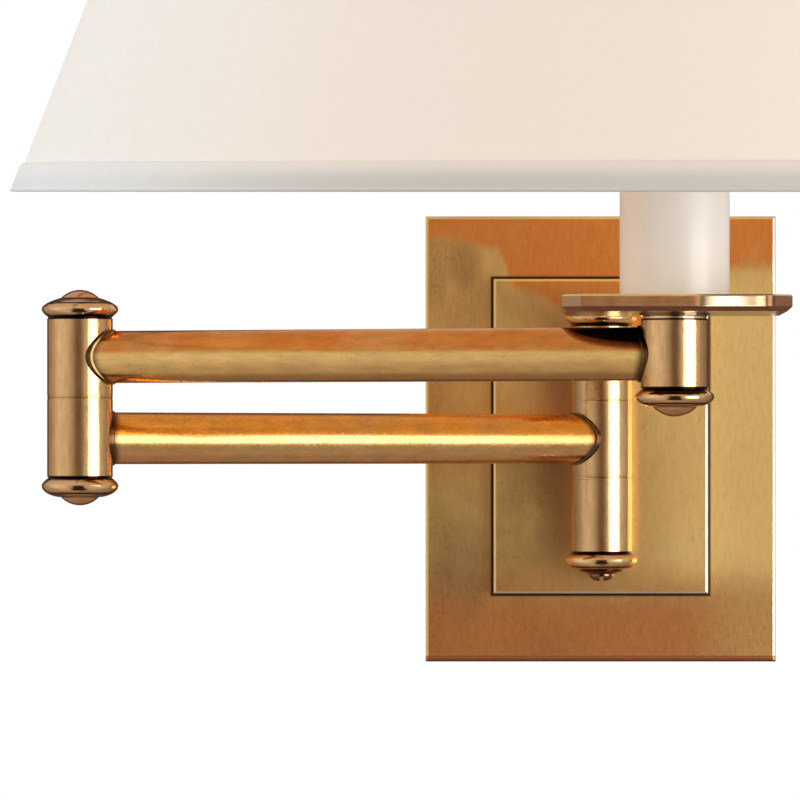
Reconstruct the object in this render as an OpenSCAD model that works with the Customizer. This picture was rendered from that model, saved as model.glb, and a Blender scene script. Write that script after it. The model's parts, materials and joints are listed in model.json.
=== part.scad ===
// Swing arm wall lamp: a stepped wall plate, a swivel post, two brass arms that fold at an elbow,
// and a candle holder that carries a large tapered shade.
// The origin is the centre of the wall plate's back face. +Z is up and the lamp stands out toward -Y.

/* [Wall plate] */
// Width of the large wall plate
plate_w = 114.3; // [95:0.1:140]
// Height of the large wall plate
plate_h = 145.4; // [130:0.1:180]
// How far the large plate stands off the wall
plate_d = 19; // [16:0.5:28]
// Wall thickness of the hollow large plate
plate_wall = 1.6; // [1.2:0.1:2.5]
// Chamfer round the front edge of the large plate
plate_edge = 0.9; // [0.6:0.1:2]
// Width of the raised plate
raised_w = 69.8; // [60:0.1:84]
// Height of the raised plate
raised_h = 102.4; // [90:0.1:116]
// How far the raised plate sits above the middle of the backplate
raised_lift = 0.9; // [0:0.1:2]
// Thickness of the raised plate
raised_d = 6; // [4:0.5:9]
// Chamfer round the front edge of the raised plate
raised_edge = 0.8; // [0.5:0.1:1.8]
// Depth of the shadow groove round the foot of the raised plate
groove = 0.9; // [0.5:0.1:1.5]

/* [Wall fixing] */
// Width of the mounting bar
bar_w = 22; // [18:0.5:30]
// Thickness of the mounting bar
bar_t = 2; // [1.5:0.1:3]
// Distance between the centres of the two fixing slots
slot_pitch = 83.3; // [70:0.1:92]
// Width of a fixing slot
slot_w = 5; // [4:0.1:6]
// Length of a fixing slot from end to end
slot_len = 12; // [8:0.5:16]
// Diameter of the round hole in the middle of the bar
bar_hole_d = 10.4; // [8:0.1:14]
// Diameter of the ground screw's thread
ground_screw_d = 3.5; // [3:0.1:4]
// Distance of the ground screw to the right of the bar's centre
ground_right = 6; // [5:0.5:7]
// Distance of the ground screw below the bar's centre
ground_drop = 20; // [14:0.5:25]
// Diameter of the headless side screws
side_screw_d = 4; // [3:0.1:5]
// Length of a side screw
side_screw_len = 8; // [6:0.5:10]
// Distance from the wall to the side screws
side_screw_out = 9; // [8:0.5:11]

/* [Post and knuckles] */
// Distance from the wall to the axis of the post
post_out = 38; // [36:0.5:55]
// Outside diameter of every knuckle
knuckle_d = 20; // [18.5:0.1:24]
// Height of a swivel knuckle
knuckle_h = 24; // [20:0.1:30]
// Thickness of a friction washer
washer_t = 0.75; // [0.4:0.05:1.5]
// Diameter of the hollow swivel pins
pin_d = 12.7; // [11:0.1:14]
// Wall thickness of the hollow swivel pins
pin_wall = 1.8; // [1.2:0.1:2.2]
// Diameter of the stems between the post and the plates
stem_d = 12; // [9:0.1:14]
// Diameter of the holes that let the wires through
wire_hole_d = 6; // [4:0.1:7]

/* [Arms] */
// Distance between the swivel axes of the lower arm
lower_arm_len = 190.5; // [150:0.5:260]
// Distance from the elbow axis to the candle axis
upper_arm_len = 190.5; // [150:0.5:260]
// Outside diameter of the arm tubes
arm_d = 15.9; // [12:0.1:17]
// Wall thickness of the arm tubes
arm_wall = 1.5; // [1:0.1:2.5]
// Height of the thin bead at each coped tube end
bead = 0.5; // [0.3:0.05:1]
// Direction of the lower arm seen from above
lower_angle = 212.5; // [200:0.5:240]
// Direction of the upper arm seen from above
upper_angle = 340.8; // [320:0.1:345]

/* [Caps] */
// How far a button cap bulges past its knuckle
cap_bulge = 1.7; // [0.8:0.1:2.5]
// Height of the rolled ring of an elbow cap
elbow_cap_ring = 6; // [5:0.1:8]
// Height of the rolled ring of a post cap
post_cap_ring = 5.4; // [5:0.1:8]
// Height of the rolled ring of the holder cap
holder_cap_ring = 5.4; // [5:0.1:8]
// Diameter of the small dome on a post or elbow cap
dome_d = 11.6; // [10:0.1:14]
// Height of the small dome on a post or elbow cap
dome_h = 2.5; // [2:0.1:5]
// Diameter of the dome on the holder cap
holder_dome_d = 13.2; // [11:0.1:15]
// Height of the dome on the holder cap
holder_dome_h = 2.9; // [2:0.1:5]
// Height of a cap ring's fullest place, as a share of the ring
cap_waist = 0.43; // [0.35:0.01:0.55]
// Shoulder of the caps on top, from 1 for round to 3 for a slope
top_shoulder = 2; // [1:0.05:3]
// Shoulder of the caps below, from 1 for round to 3 for a slope
lower_shoulder = 1.25; // [1:0.05:3]
// Diameter of the step round the slotted screw under the post
driver_step_d = 14.2; // [12:0.1:15]
// Diameter of the slotted screw head under the post
driver_head_d = 8.2; // [7:0.1:9]
// Height of the slotted screw head under the post, with its step
driver_head_h = 3.9; // [3.4:0.1:5]
// Diameter of the screw that clamps the post's lower cap
post_screw_d = 4; // [3:0.1:4.5]
// Width of the screwdriver slot under the post
driver_slot_w = 1.3; // [0.8:0.1:2]

/* [Candle holder] */
// Height of the holder knuckle
holder_h = 20.6; // [16:0.1:23]
// Thickness of the collar on the holder knuckle
collar_t = 1.5; // [1.2:0.1:4]
// Side length of the square drip plate
drip_w = 66.8; // [54:0.1:80]
// Height of the drip plate's upright edge
drip_t = 3.9; // [2.5:0.1:6]
// Height of the bevel under the drip plate's edge
drip_bevel = 1; // [0.5:0.1:2]
// Length of each clipped corner of the drip plate
drip_clip = 5.6; // [2:0.1:9]
// Edge chamfer of the drip plate
drip_chamfer = 0.4; // [0.2:0.05:0.8]
// Diameter of the threaded tube up the middle of the holder
nipple_d = 9.6; // [8:0.1:10.5]
// Bore of the threaded tube
nipple_bore = 6.6; // [5:0.1:7]
// Outside diameter of the candle sleeve
candle_d = 32.4; // [31.5:0.1:36]
// Wall thickness of the candle sleeve
candle_wall = 0.9; // [0.6:0.1:1.1]
// Height of the candle sleeve
candle_h = 78; // [62:0.5:90]

/* [Socket and bulb] */
// Outside diameter of the socket body
socket_d = 29.6; // [29:0.1:29.8]
// Height of the socket body
socket_h = 38; // [34:0.5:46]
// How far the socket stands out of the candle sleeve
socket_proud = 16; // [13:0.5:18]
// Diameter of the bulb's screw base
bulb_base_d = 26.2; // [25.6:0.1:26.4]
// Diameter of the bulb's glass
bulb_d = 60; // [45:0.5:66]
// Length of the bulb's glass above its screw base
bulb_len = 84; // [70:0.5:95]

/* [Harp and shade] */
// Height of the harp above the saddle
harp_h = 178; // [160:0.5:200]
// Width of the harp between its wires
harp_w = 92; // [80:0.5:110]
// Diameter of the harp wire
harp_wire_d = 3.6; // [2.5:0.1:5]
// Largest diameter of the finial
finial_d = 15.2; // [12:0.1:20]
// Height of the finial
finial_h = 23.2; // [20:0.1:34]
// How far the shade leans toward the room
shade_lean = 2.6; // [0:0.1:3]
// Height of the shade's lower rim above the lower arm
rim_z = 72.7; // [68:0.1:80]
// Radius of the shade at its lower rim
shade_bottom_r = 194; // [150:0.5:200]
// Radius of the shade at its upper rim
shade_top_r = 100.6; // [80:0.1:130]
// Height of the shade
shade_h = 240; // [225:0.5:260]
// Thickness of the shade's fabric and liner
shade_t = 1.2; // [0.8:0.1:2]
// Height of the trim bands
trim_h = 8; // [5:0.5:12]
// Thickness of the trim bands
trim_t = 1.1; // [0.6:0.1:2]
// Diameter of the shade's frame wire
ring_wire_d = 3.2; // [2.5:0.1:5]

/* [Fits] */
// Radial running clearance between a pin and its swivelling knuckle
run_fit = 0.06; // [0.02:0.01:0.1]
// Clearance between pieces that sit still inside one another
seat_fit = 0.05; // [0.02:0.01:0.1]
// Axial running clearance beside a friction washer
washer_gap = 0.05; // [0.02:0.01:0.1]

/* [Hidden] */
$fn = 96;
eps = 0.01;

brass = [0.72, 0.52, 0.28];
dark_brass = [0.55, 0.38, 0.2];
steel = [0.7, 0.7, 0.72];
ivory = [0.95, 0.92, 0.86];
linen = [0.97, 0.96, 0.93];

// Heights on the post: the lower arm is level with the origin
knuckle_r = knuckle_d / 2;
pin_r = pin_d / 2;
pin_bore_r = pin_r - pin_wall;
knuckle_pitch = knuckle_h + washer_t;
post_top_z = 1.5 * knuckle_h + washer_t;
cap_spigot = 4;
screw_gap = 0.1;
pin_foot = 6;
driver_slot_depth = 1.6;

// Fronts of the two plates
plate_front = -plate_d;
raised_front = -plate_d - raised_d;
stem_thread = 7.4;
stem_back = plate_front + plate_wall + stem_thread;
stem_nut_t = 4;
stem_nut_r = stem_d / 2 + 4;
stem_washer_t = 1;
stem_washer_r = stem_d / 2 + 5;
screw_recess = 0.3;
screw_slot_w = 0.8;
raised_wall = 4;
raised_skin = 2;
raised_boss = 3;

// Edges of the turned pieces
edge_break = 0.35;
dome_ledge = 0.3;
driver_step_h = 1.5;
driver_step_edge = 0.5;

// Plan positions of the swivel axes
post_xy = [0, -post_out];
elbow_xy = post_xy + lower_arm_len * [cos(lower_angle), sin(lower_angle)];
holder_xy = elbow_xy + upper_arm_len * [cos(upper_angle), sin(upper_angle)];

// Heights on the holder
upper_z = knuckle_pitch;
holder_bottom_z = upper_z - holder_h / 2;
holder_top_z = upper_z + holder_h / 2;
collar_d = knuckle_d + 0.8;
collar_step = 0.6;
nipple_foot = 2.8;
nipple_nut_r = 8.5;
nipple_nut_h = 4;
drip_z = holder_top_z + collar_t;
drip_edge_z = drip_z + drip_bevel;
drip_top_z = drip_edge_z + drip_t;
candle_top_z = drip_top_z + candle_h;

// Heights of the socket and bulb
saddle_t = 1.5;
saddle_z = candle_top_z + 0.3;
ring_nut_z = saddle_z + saddle_t + 0.1;
ring_nut_h = 3.5;
socket_top_z = candle_top_z + socket_proud;
socket_bottom_z = socket_top_z - socket_h;
socket_floor = 5;
socket_wall = 1.05;
shell_t = 0.25;
socket_cap_h = 9;
nipple_top_z = socket_bottom_z - 2;
bulb_base_h = 24;
bulb_base_top_z = socket_top_z - 3;
bulb_base_z = bulb_base_top_z - bulb_base_h;
bulb_tip = 2.6;
bulb_neck_r = bulb_base_d / 2 - 0.5;
contact_w = 5;
contact_len = 14;
contact_t = 0.6;
contact_gap = 0.1;

// Harp and shade, built upright about the candle axis and leaned at the saddle
harp_wire_r = harp_wire_d / 2;
harp_top_z = saddle_z + saddle_t + harp_h;
harp_bend = 26;
harp_boss_r = 5.5;
stud_r = 3.1;
stud_h = 12;
hub_r = 11;
hub_t = 2;
hub_z = harp_top_z + 2.2;
spider_wire_d = 2.6;
spider_root = 7;
saddle_rim = 5;
saddle_tab = 4;
saddle_strap_w = 10;
saddle_post_r = 1.5;
saddle_post_h = 10;
harp_sleeve_t = 1.4;
harp_sleeve_len = 18;
harp_foot_gap = 0.4;
rim_off = shade_t + ring_wire_d / 2 + 0.25;
shade_slope = (shade_bottom_r - shade_top_r) / shade_h;

// Radius of the shade's outer face at a height above its lower rim
function shade_r(h) = shade_bottom_r - shade_slope * h;

// Points of a shallow slice of a ball from its edge to its top
function ball_points(r, h, z0, steps = 10) =
    let (ball_r = (r * r + h * h) / (2 * h), half = asin(r / ball_r))
    [
        for (i = [0 : steps])
            let (a = half * (1 - i / steps))
            [ball_r * sin(a), z0 + h - ball_r * (1 - cos(a))]
    ];

// Points of a quarter ellipse from the outside in, used for domes
function dome_points(r, h, z0, steps = 12) =
    [for (i = [0 : steps]) [r * cos(90 * i / steps), z0 + h * sin(90 * i / steps)]];

module at_elbow() { translate([elbow_xy[0], elbow_xy[1], 0]) children(); }
module at_post() { translate([post_xy[0], post_xy[1], 0]) children(); }
module at_holder() { translate([holder_xy[0], holder_xy[1], 0]) children(); }

// Everything above the saddle leans with the harp
module leaned() {
    at_holder()
        translate([0, 0, saddle_z])
            rotate([shade_lean, 0, 0])
                translate([0, 0, -saddle_z])
                    children();
}

// A rod from the wall side out toward -Y
module rod_y(r, y_from, y_to, z) {
    translate([0, y_from, z])
        rotate([90, 0, 0])
            cylinder(r = r, h = y_from - y_to);
}

// A flat plate seen from the front, with its front edges rounded over
module plate_block(w, h, back, front, edge) {
    hull()
        for (a = [0 : 30 : 90]) {
            inset = edge * (1 - cos(a));
            face = front + edge * (1 - sin(a));
            translate([-w / 2 + inset, face, -h / 2 + inset])
                cube([w - 2 * inset, back - face, h - 2 * inset]);
        }
}

// A tube about a vertical axis
module tube_z(r_out, r_in, z0, z1) {
    difference() {
        translate([0, 0, z0])
            cylinder(r = r_out, h = z1 - z0);
        translate([0, 0, z0 - 1])
            cylinder(r = r_in, h = z1 - z0 + 2);
    }
}

// A swivel knuckle with small edge breaks, a bore, and a wire hole toward an arm
module knuckle(z_mid, h, bore_r, wire_angle) {
    difference() {
        rotate_extrude()
            polygon([
                [bore_r, z_mid - h / 2],
                [knuckle_r - edge_break, z_mid - h / 2],
                [knuckle_r, z_mid - h / 2 + edge_break],
                [knuckle_r, z_mid + h / 2 - edge_break],
                [knuckle_r - edge_break, z_mid + h / 2],
                [bore_r, z_mid + h / 2]
            ]);
        translate([0, 0, z_mid])
            rotate([0, 90, wire_angle])
                cylinder(d = wire_hole_d, h = knuckle_d);
    }
}

// A hollow swivel pin with wire windows at the given heights
module swivel_pin(z0, z1, windows, foot, foot_bore_r) {
    difference() {
        translate([0, 0, z0])
            cylinder(r = pin_r, h = z1 - z0);
        translate([0, 0, z0 + foot])
            cylinder(r = pin_bore_r, h = z1 - z0);
        translate([0, 0, z0 - 1])
            cylinder(r = foot_bore_r, h = foot + 2);
        for (w = windows)
            translate([0, 0, w[0]])
                rotate([0, 90, w[1]])
                    cylinder(d = wire_hole_d, h = pin_d);
    }
}

// The rolled ring of a cap standing on z = 0, with a shoulder up to its neck
function ring_points(ring_h, neck_r, shoulder, steps = 8) =
    let (lip = knuckle_r + cap_bulge - neck_r, waist = cap_waist * ring_h, side = waist - edge_break)
    concat(
        [[knuckle_r - edge_break, 0]],
        [for (i = [0 : steps]) [knuckle_r + cap_bulge * sin(90 * i / steps), edge_break + side * i / steps]],
        [for (i = [1 : steps])
            let (a = 90 * i / steps)
            [neck_r + lip * pow(cos(a), shoulder), waist + (ring_h - waist) * sin(a)]]
    );

// A button cap standing on z = 0: a rolled ring, a shallow dome and a spigot into the pin
module button_cap(ring_h, shoulder, spigot_r, spigot_len, dome_r = dome_d / 2, dome_rise = dome_h) {
    rotate_extrude()
        polygon(concat(
            [[0, 0]],
            ring_points(ring_h, dome_r + dome_ledge, shoulder),
            ball_points(dome_r, dome_rise, ring_h)
        ));
    translate([0, 0, -spigot_len])
        cylinder(r = spigot_r, h = spigot_len + eps);
}

// An arm tube between two swivel axes, coped round the knuckle at each end, with a bead at each cope
module arm_tube(length, z) {
    r = arm_d / 2;
    cope_r = knuckle_r + seat_fit;
    translate([0, 0, z])
        difference() {
            union() {
                rotate([0, 90, 0])
                    cylinder(r = r, h = length);
                intersection() {
                    rotate([0, 90, 0])
                        cylinder(r = r + bead, h = length);
                    union()
                        for (x = [0, length])
                            translate([x, 0, -arm_d])
                                cylinder(r = cope_r + 2 * bead, h = 2 * arm_d);
                }
            }
            translate([-1, 0, 0])
                rotate([0, 90, 0])
                    cylinder(r = r - arm_wall, h = length + 2);
            for (x = [0, length])
                translate([x, 0, -arm_d])
                    cylinder(r = cope_r, h = 2 * arm_d);
        }
}

// Wall fixing and plates

module mounting_bar() {
    tab_z = plate_h / 2 - plate_wall - 0.3;
    tab_len = 13;
    tap_r = side_screw_d / 2 + seat_fit;
    color(steel)
        difference() {
            union() {
                translate([-bar_w / 2, -bar_t, -tab_z])
                    cube([bar_w, bar_t, 2 * tab_z]);
                for (z = [-tab_z, tab_z - bar_t])
                    translate([-bar_w / 2, -tab_len, z])
                        cube([bar_w, tab_len, bar_t]);
            }
            for (s = [-1, 1])
                for (e = [-1, 1])
                    rod_y(slot_w / 2, 1, -bar_t - 1, s * slot_pitch / 2 + e * (slot_len - slot_w) / 2);
            for (s = [-1, 1])
                translate([-slot_w / 2, -bar_t - 1, s * slot_pitch / 2 - (slot_len - slot_w) / 2])
                    cube([slot_w, bar_t + 2, slot_len - slot_w]);
            rod_y(bar_hole_d / 2, 1, -bar_t - 1, 0);
            translate([ground_right, 0, 0])
                rod_y(ground_screw_d / 2 + seat_fit, 1, -bar_t - 1, -ground_drop);
            translate([0, -side_screw_out, -plate_h])
                cylinder(r = tap_r, h = 2 * plate_h);
        }
}

module ground_screw() {
    head_r = 1.15 * ground_screw_d;
    head_h = 2;
    color([0.25, 0.5, 0.3])
        translate([ground_right, 0, 0])
            difference() {
                union() {
                    rod_y(ground_screw_d / 2, -0.2, -bar_t, -ground_drop);
                    rod_y(head_r, -bar_t, -bar_t - head_h, -ground_drop);
                }
                translate([-head_r - 1, -bar_t - head_h - 1, -ground_drop - screw_slot_w / 2])
                    cube([2 * head_r + 2, head_h, screw_slot_w]);
            }
}

module backplate() {
    inner_w = plate_w - 2 * plate_wall;
    inner_h = plate_h - 2 * plate_wall;
    color(brass)
        difference() {
            plate_block(plate_w, plate_h, 0, plate_front, plate_edge);
            translate([-inner_w / 2, plate_front + plate_wall, -inner_h / 2])
                cube([inner_w, plate_d, inner_h]);
            for (s = [-1, 1])
                rod_y(stem_d / 2 + seat_fit, 1, plate_front - 1, s * knuckle_pitch);
            translate([0, -side_screw_out, -plate_h])
                cylinder(d = side_screw_d + 2 * screw_gap, h = 2 * plate_h);
        }
}

// Headless screws, one down through the top edge and one up through the bottom edge
module side_screws() {
    top_z = plate_h / 2 - screw_recess;
    slot_depth = 1;
    color(dark_brass)
        for (turn = [0, 180])
            translate([0, -side_screw_out, 0])
                rotate([0, turn, 0])
                    difference() {
                        translate([0, 0, top_z - side_screw_len])
                            cylinder(d = side_screw_d, h = side_screw_len);
                        translate([-side_screw_d, -screw_slot_w / 2, top_z - slot_depth])
                            cube([2 * side_screw_d, screw_slot_w, 2 * slot_depth]);
                    }
}

module raised_plate() {
    foot_w = raised_w - 2 * groove;
    foot_h = raised_h - 2 * groove;
    hollow_w = raised_w - 2 * raised_wall;
    hollow_h = raised_h - 2 * raised_wall;
    color(brass)
        difference() {
            translate([0, 0, raised_lift]) {
                plate_block(raised_w, raised_h, plate_front - groove, raised_front, raised_edge);
                translate([-foot_w / 2, plate_front - groove - eps, -foot_h / 2])
                    cube([foot_w, groove + eps, foot_h]);
            }
            difference() {
                translate([-hollow_w / 2, raised_front + raised_skin, raised_lift - hollow_h / 2])
                    cube([hollow_w, raised_d, hollow_h]);
                for (s = [-1, 1])
                    rod_y(stem_d / 2 + raised_boss, plate_front + 1, raised_front, s * knuckle_pitch);
            }
            for (s = [-1, 1])
                rod_y(stem_d / 2 + seat_fit, plate_front + 1, raised_front - 1, s * knuckle_pitch);
        }
}

// A stem from inside the plates to one fixed knuckle, bored for the wires and coped to the knuckle
module stem(z) {
    color(brass)
        difference() {
            rod_y(stem_d / 2, stem_back, -post_out, z);
            rod_y(wire_hole_d / 2, stem_back + 1, -post_out - 1, z);
            at_post()
                translate([0, 0, z - knuckle_h])
                    cylinder(r = knuckle_r + seat_fit, h = 2 * knuckle_h);
        }
}

module post_upper_stem() { stem(knuckle_pitch); }
module post_lower_stem() { stem(-knuckle_pitch); }

module stem_washers() {
    back = plate_front + plate_wall;
    color(steel)
        for (s = [-1, 1])
            difference() {
                rod_y(stem_washer_r, back + stem_washer_t, back, s * knuckle_pitch);
                rod_y(stem_d / 2 + seat_fit, back + stem_washer_t + 1, back - 1, s * knuckle_pitch);
            }
}

module stem_nuts() {
    back = plate_front + plate_wall + stem_washer_t;
    color(dark_brass)
        for (s = [-1, 1])
            difference() {
                translate([0, back + stem_nut_t, s * knuckle_pitch])
                    rotate([90, 0, 0])
                        cylinder(r = stem_nut_r, h = stem_nut_t, $fn = 6);
                rod_y(stem_d / 2 + seat_fit, back + stem_nut_t + 1, back - 1, s * knuckle_pitch);
            }
}

// Post

module post_upper_knuckle() {
    color(brass)
        at_post()
            knuckle(knuckle_pitch, knuckle_h, pin_r + seat_fit, 90);
}

module post_lower_knuckle() {
    color(brass)
        at_post()
            knuckle(-knuckle_pitch, knuckle_h, pin_r + seat_fit, 90);
}

module post_washers() {
    z = knuckle_h / 2;
    color(dark_brass)
        at_post() {
            tube_z(knuckle_r - 0.5, pin_r + seat_fit, z + washer_gap, z + washer_t);
            tube_z(knuckle_r - 0.5, pin_r + seat_fit, -z - washer_t, -z - washer_gap);
        }
}

module post_pin() {
    windows = [[knuckle_pitch, 90], [-knuckle_pitch, 90], [0, lower_angle]];
    color(brass)
        at_post()
            swivel_pin(-post_top_z, post_top_z, windows, pin_foot, post_screw_d / 2 + screw_gap);
}

module post_top_cap() {
    color(brass)
        at_post()
            translate([0, 0, post_top_z])
                button_cap(post_cap_ring, top_shoulder, pin_bore_r - seat_fit, cap_spigot);
}

module post_bottom_cap() {
    color(brass)
        at_post()
            translate([0, 0, -post_top_z])
                mirror([0, 0, 1])
                    difference() {
                        rotate_extrude()
                            polygon(concat(
                                [[0, 0]],
                                ring_points(post_cap_ring, driver_step_d / 2 + dome_ledge, lower_shoulder),
                                [[0, post_cap_ring]]
                            ));
                        translate([0, 0, -1])
                            cylinder(r = post_screw_d / 2 + 2 * screw_gap, h = post_cap_ring + 2);
                    }
}

module post_screw() {
    step_r = driver_step_d / 2;
    head_r = driver_head_d / 2;
    head_foot = driver_step_h + dome_ledge;
    thread_h = post_cap_ring + 5;
    head_z = -post_top_z - post_cap_ring;
    color(brass)
        at_post()
            difference() {
                union() {
                    translate([0, 0, head_z])
                        mirror([0, 0, 1])
                            rotate_extrude()
                                polygon(concat(
                                    [[0, 0], [step_r - driver_step_edge, 0], [step_r, driver_step_edge]],
                                    [[head_r + dome_ledge, driver_step_h], [head_r, driver_step_h]],
                                    dome_points(head_r, driver_head_h - head_foot, head_foot)
                                ));
                    translate([0, 0, head_z - eps])
                        cylinder(d = post_screw_d, h = thread_h);
                }
                translate([-driver_slot_w / 2, -knuckle_r, head_z - 2 * driver_head_h + driver_slot_depth])
                    cube([driver_slot_w, knuckle_d, driver_head_h]);
            }
}

// Lower arm

module post_middle_knuckle() { color(brass) at_post() knuckle(0, knuckle_h, pin_r + run_fit, lower_angle); }

module lower_arm_tube() {
    color(brass)
        at_post()
            rotate([0, 0, lower_angle])
                arm_tube(lower_arm_len, 0);
}

module elbow_lower_knuckle() {
    color(brass)
        at_elbow()
            knuckle(0, knuckle_h, pin_r + seat_fit, lower_angle + 180);
}

module elbow_washer() {
    z = knuckle_h / 2;
    color(dark_brass)
        at_elbow()
            tube_z(knuckle_r - 0.5, pin_r + seat_fit, z, z + washer_t - washer_gap);
}

module elbow_pin() {
    windows = [[0, lower_angle + 180], [knuckle_pitch, upper_angle]];
    color(brass)
        at_elbow()
            swivel_pin(-knuckle_h / 2, knuckle_pitch + knuckle_h / 2 + washer_gap, windows, 1.5, pin_bore_r);
}

module elbow_bottom_cap() {
    color(brass)
        at_elbow()
            translate([0, 0, -knuckle_h / 2])
                mirror([0, 0, 1])
                    button_cap(elbow_cap_ring, lower_shoulder, pin_bore_r - seat_fit, cap_spigot);
}

module elbow_top_cap() {
    color(brass)
        at_elbow()
            translate([0, 0, knuckle_pitch + knuckle_h / 2 + washer_gap])
                button_cap(elbow_cap_ring, top_shoulder, pin_bore_r - seat_fit, cap_spigot);
}

// Upper arm and candle holder

module elbow_upper_knuckle() {
    color(brass)
        at_elbow()
            knuckle(knuckle_pitch, knuckle_h, pin_r + run_fit, upper_angle);
}

module upper_arm_tube() {
    color(brass)
        at_elbow()
            rotate([0, 0, upper_angle])
                arm_tube(upper_arm_len, upper_z);
}

module holder_knuckle() {
    color(brass)
        at_holder()
            knuckle(upper_z, holder_h, nipple_d / 2 + seat_fit, upper_angle + 180);
}

module holder_bottom_cap() {
    color(brass)
        at_holder()
            difference() {
                translate([0, 0, holder_bottom_z])
                    mirror([0, 0, 1])
                        button_cap(
                            holder_cap_ring,
                            lower_shoulder,
                            nipple_d / 2,
                            0,
                            holder_dome_d / 2,
                            holder_dome_h
                        );
                translate([0, 0, holder_bottom_z - nipple_foot - 0.2])
                    cylinder(r = nipple_d / 2 + seat_fit, h = nipple_foot + 1);
            }
}

module holder_nipple() {
    color(dark_brass)
        at_holder()
            difference() {
                tube_z(nipple_d / 2, nipple_bore / 2, holder_bottom_z - nipple_foot, nipple_top_z);
                translate([0, 0, upper_z])
                    rotate([0, 90, upper_angle + 180])
                        cylinder(d = wire_hole_d - 1, h = nipple_d);
            }
}

module holder_collar() {
    color(brass)
        at_holder()
            rotate_extrude()
                polygon([
                    [nipple_d / 2 + seat_fit, holder_top_z],
                    [knuckle_r - collar_step, holder_top_z],
                    [knuckle_r - collar_step, holder_top_z + collar_step],
                    [collar_d / 2, holder_top_z + 1.5 * collar_step],
                    [collar_d / 2, drip_z],
                    [nipple_d / 2 + seat_fit, drip_z]
                ]);
}

// Outline of the drip plate: a square with its corners clipped
module drip_outline(inset) {
    a = drip_w / 2 - inset;
    b = a - drip_clip + 0.4142 * inset;
    polygon([[a, b], [b, a], [-b, a], [-a, b], [-a, -b], [-b, -a], [b, -a], [a, -b]]);
}

module drip_plate() {
    color(brass)
        at_holder()
            difference() {
                hull() {
                    translate([0, 0, drip_z])
                        linear_extrude(drip_bevel)
                            drip_outline(1.5 * drip_bevel);
                    translate([0, 0, drip_edge_z])
                        linear_extrude(drip_t)
                            drip_outline(drip_chamfer);
                    translate([0, 0, drip_edge_z + drip_chamfer])
                        linear_extrude(drip_t - 2 * drip_chamfer)
                            drip_outline(0);
                }
                translate([0, 0, drip_z - 1])
                    cylinder(r = nipple_d / 2 + seat_fit, h = drip_top_z - drip_z + 2);
            }
}

module drip_plate_nut() {
    color(dark_brass)
        at_holder()
            difference() {
                translate([0, 0, drip_top_z])
                    cylinder(r = nipple_nut_r, h = nipple_nut_h, $fn = 6);
                translate([0, 0, drip_top_z - 1])
                    cylinder(r = nipple_d / 2 + seat_fit, h = nipple_nut_h + 2);
            }
}

module candle_sleeve() {
    r = candle_d / 2;
    color(ivory)
        at_holder()
            rotate_extrude()
                polygon([
                    [r - candle_wall, drip_top_z],
                    [r - edge_break, drip_top_z],
                    [r, drip_top_z + edge_break],
                    [r, candle_top_z - 2 * edge_break],
                    [r - edge_break, candle_top_z],
                    [r - candle_wall, candle_top_z]
                ]);
}

// Socket and bulb

module socket_cap() {
    r = socket_d / 2 - 1.5;
    color(brass)
        at_holder()
            rotate_extrude()
                polygon([
                    [nipple_d / 2 + seat_fit, socket_bottom_z - socket_cap_h],
                    [nipple_d / 2 + 2.5, socket_bottom_z - socket_cap_h],
                    [r, socket_bottom_z - 3],
                    [r, socket_bottom_z],
                    [nipple_d / 2 + seat_fit, socket_bottom_z]
                ]);
}

module socket_body() {
    r = socket_d / 2;
    color([0.12, 0.12, 0.12])
        at_holder()
            difference() {
                rotate_extrude()
                    polygon([
                        [0, socket_bottom_z],
                        [r - 1, socket_bottom_z],
                        [r, socket_bottom_z + 1],
                        [r, socket_top_z],
                        [r - socket_wall, socket_top_z],
                        [r - socket_wall, socket_bottom_z + socket_floor],
                        [0, socket_bottom_z + socket_floor]
                    ]);
                for (x = [-6, 6])
                    translate([x, 0, socket_bottom_z - 1])
                        cylinder(r = 1.5, h = socket_floor + 2);
            }
}

module socket_shell() {
    r = socket_d / 2 - socket_wall - seat_fit;
    color(brass)
        at_holder()
            tube_z(r, r - shell_t, socket_bottom_z + socket_floor, socket_top_z - 2);
}

module socket_contact() {
    z = socket_bottom_z + socket_floor;
    spring_h = bulb_base_z - bulb_tip - contact_gap - z;
    color(brass)
        at_holder()
            difference() {
                translate([-contact_w / 2, -contact_len / 2, z])
                    cube([contact_w, contact_len, spring_h]);
                translate([-contact_w / 2 - 1, -contact_len / 2 - 1, z + contact_t])
                    cube([contact_w + 2, 0.7 * contact_len, spring_h - 2 * contact_t]);
            }
}

module bulb_base() {
    r = bulb_base_d / 2;
    turns = 6;
    pitch = (bulb_base_h - 4) / turns;
    thread = [for (i = [0 : 4 * turns])
        [r - 0.45 + 0.45 * cos(90 * i), bulb_base_z + 2 + pitch * i / 4]];
    color(steel)
        at_holder()
            rotate_extrude()
                polygon(concat(
                    [[0, bulb_base_z - bulb_tip], [4.5, bulb_base_z - bulb_tip]],
                    [[5, bulb_base_z - 1.8], [r - 2.5, bulb_base_z]],
                    thread,
                    [[r - 0.4, bulb_base_top_z], [0, bulb_base_top_z]]
                ));
}

module bulb_glass() {
    r = bulb_d / 2;
    belly_z = bulb_base_top_z + bulb_len - r;
    neck = [for (t = [0 : 0.1 : 1])
        [bulb_neck_r + (r - bulb_neck_r) * (1 - cos(180 * t)) / 2,
         bulb_base_top_z + 6 + (belly_z - bulb_base_top_z - 6) * t]];
    crown = [for (a = [10 : 10 : 90]) [r * cos(a), belly_z + r * sin(a)]];
    color([1, 0.97, 0.9])
        at_holder()
            rotate_extrude()
                polygon(concat([[0, bulb_base_top_z], [bulb_neck_r, bulb_base_top_z]], neck, crown));
}

// Harp and finial

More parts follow.
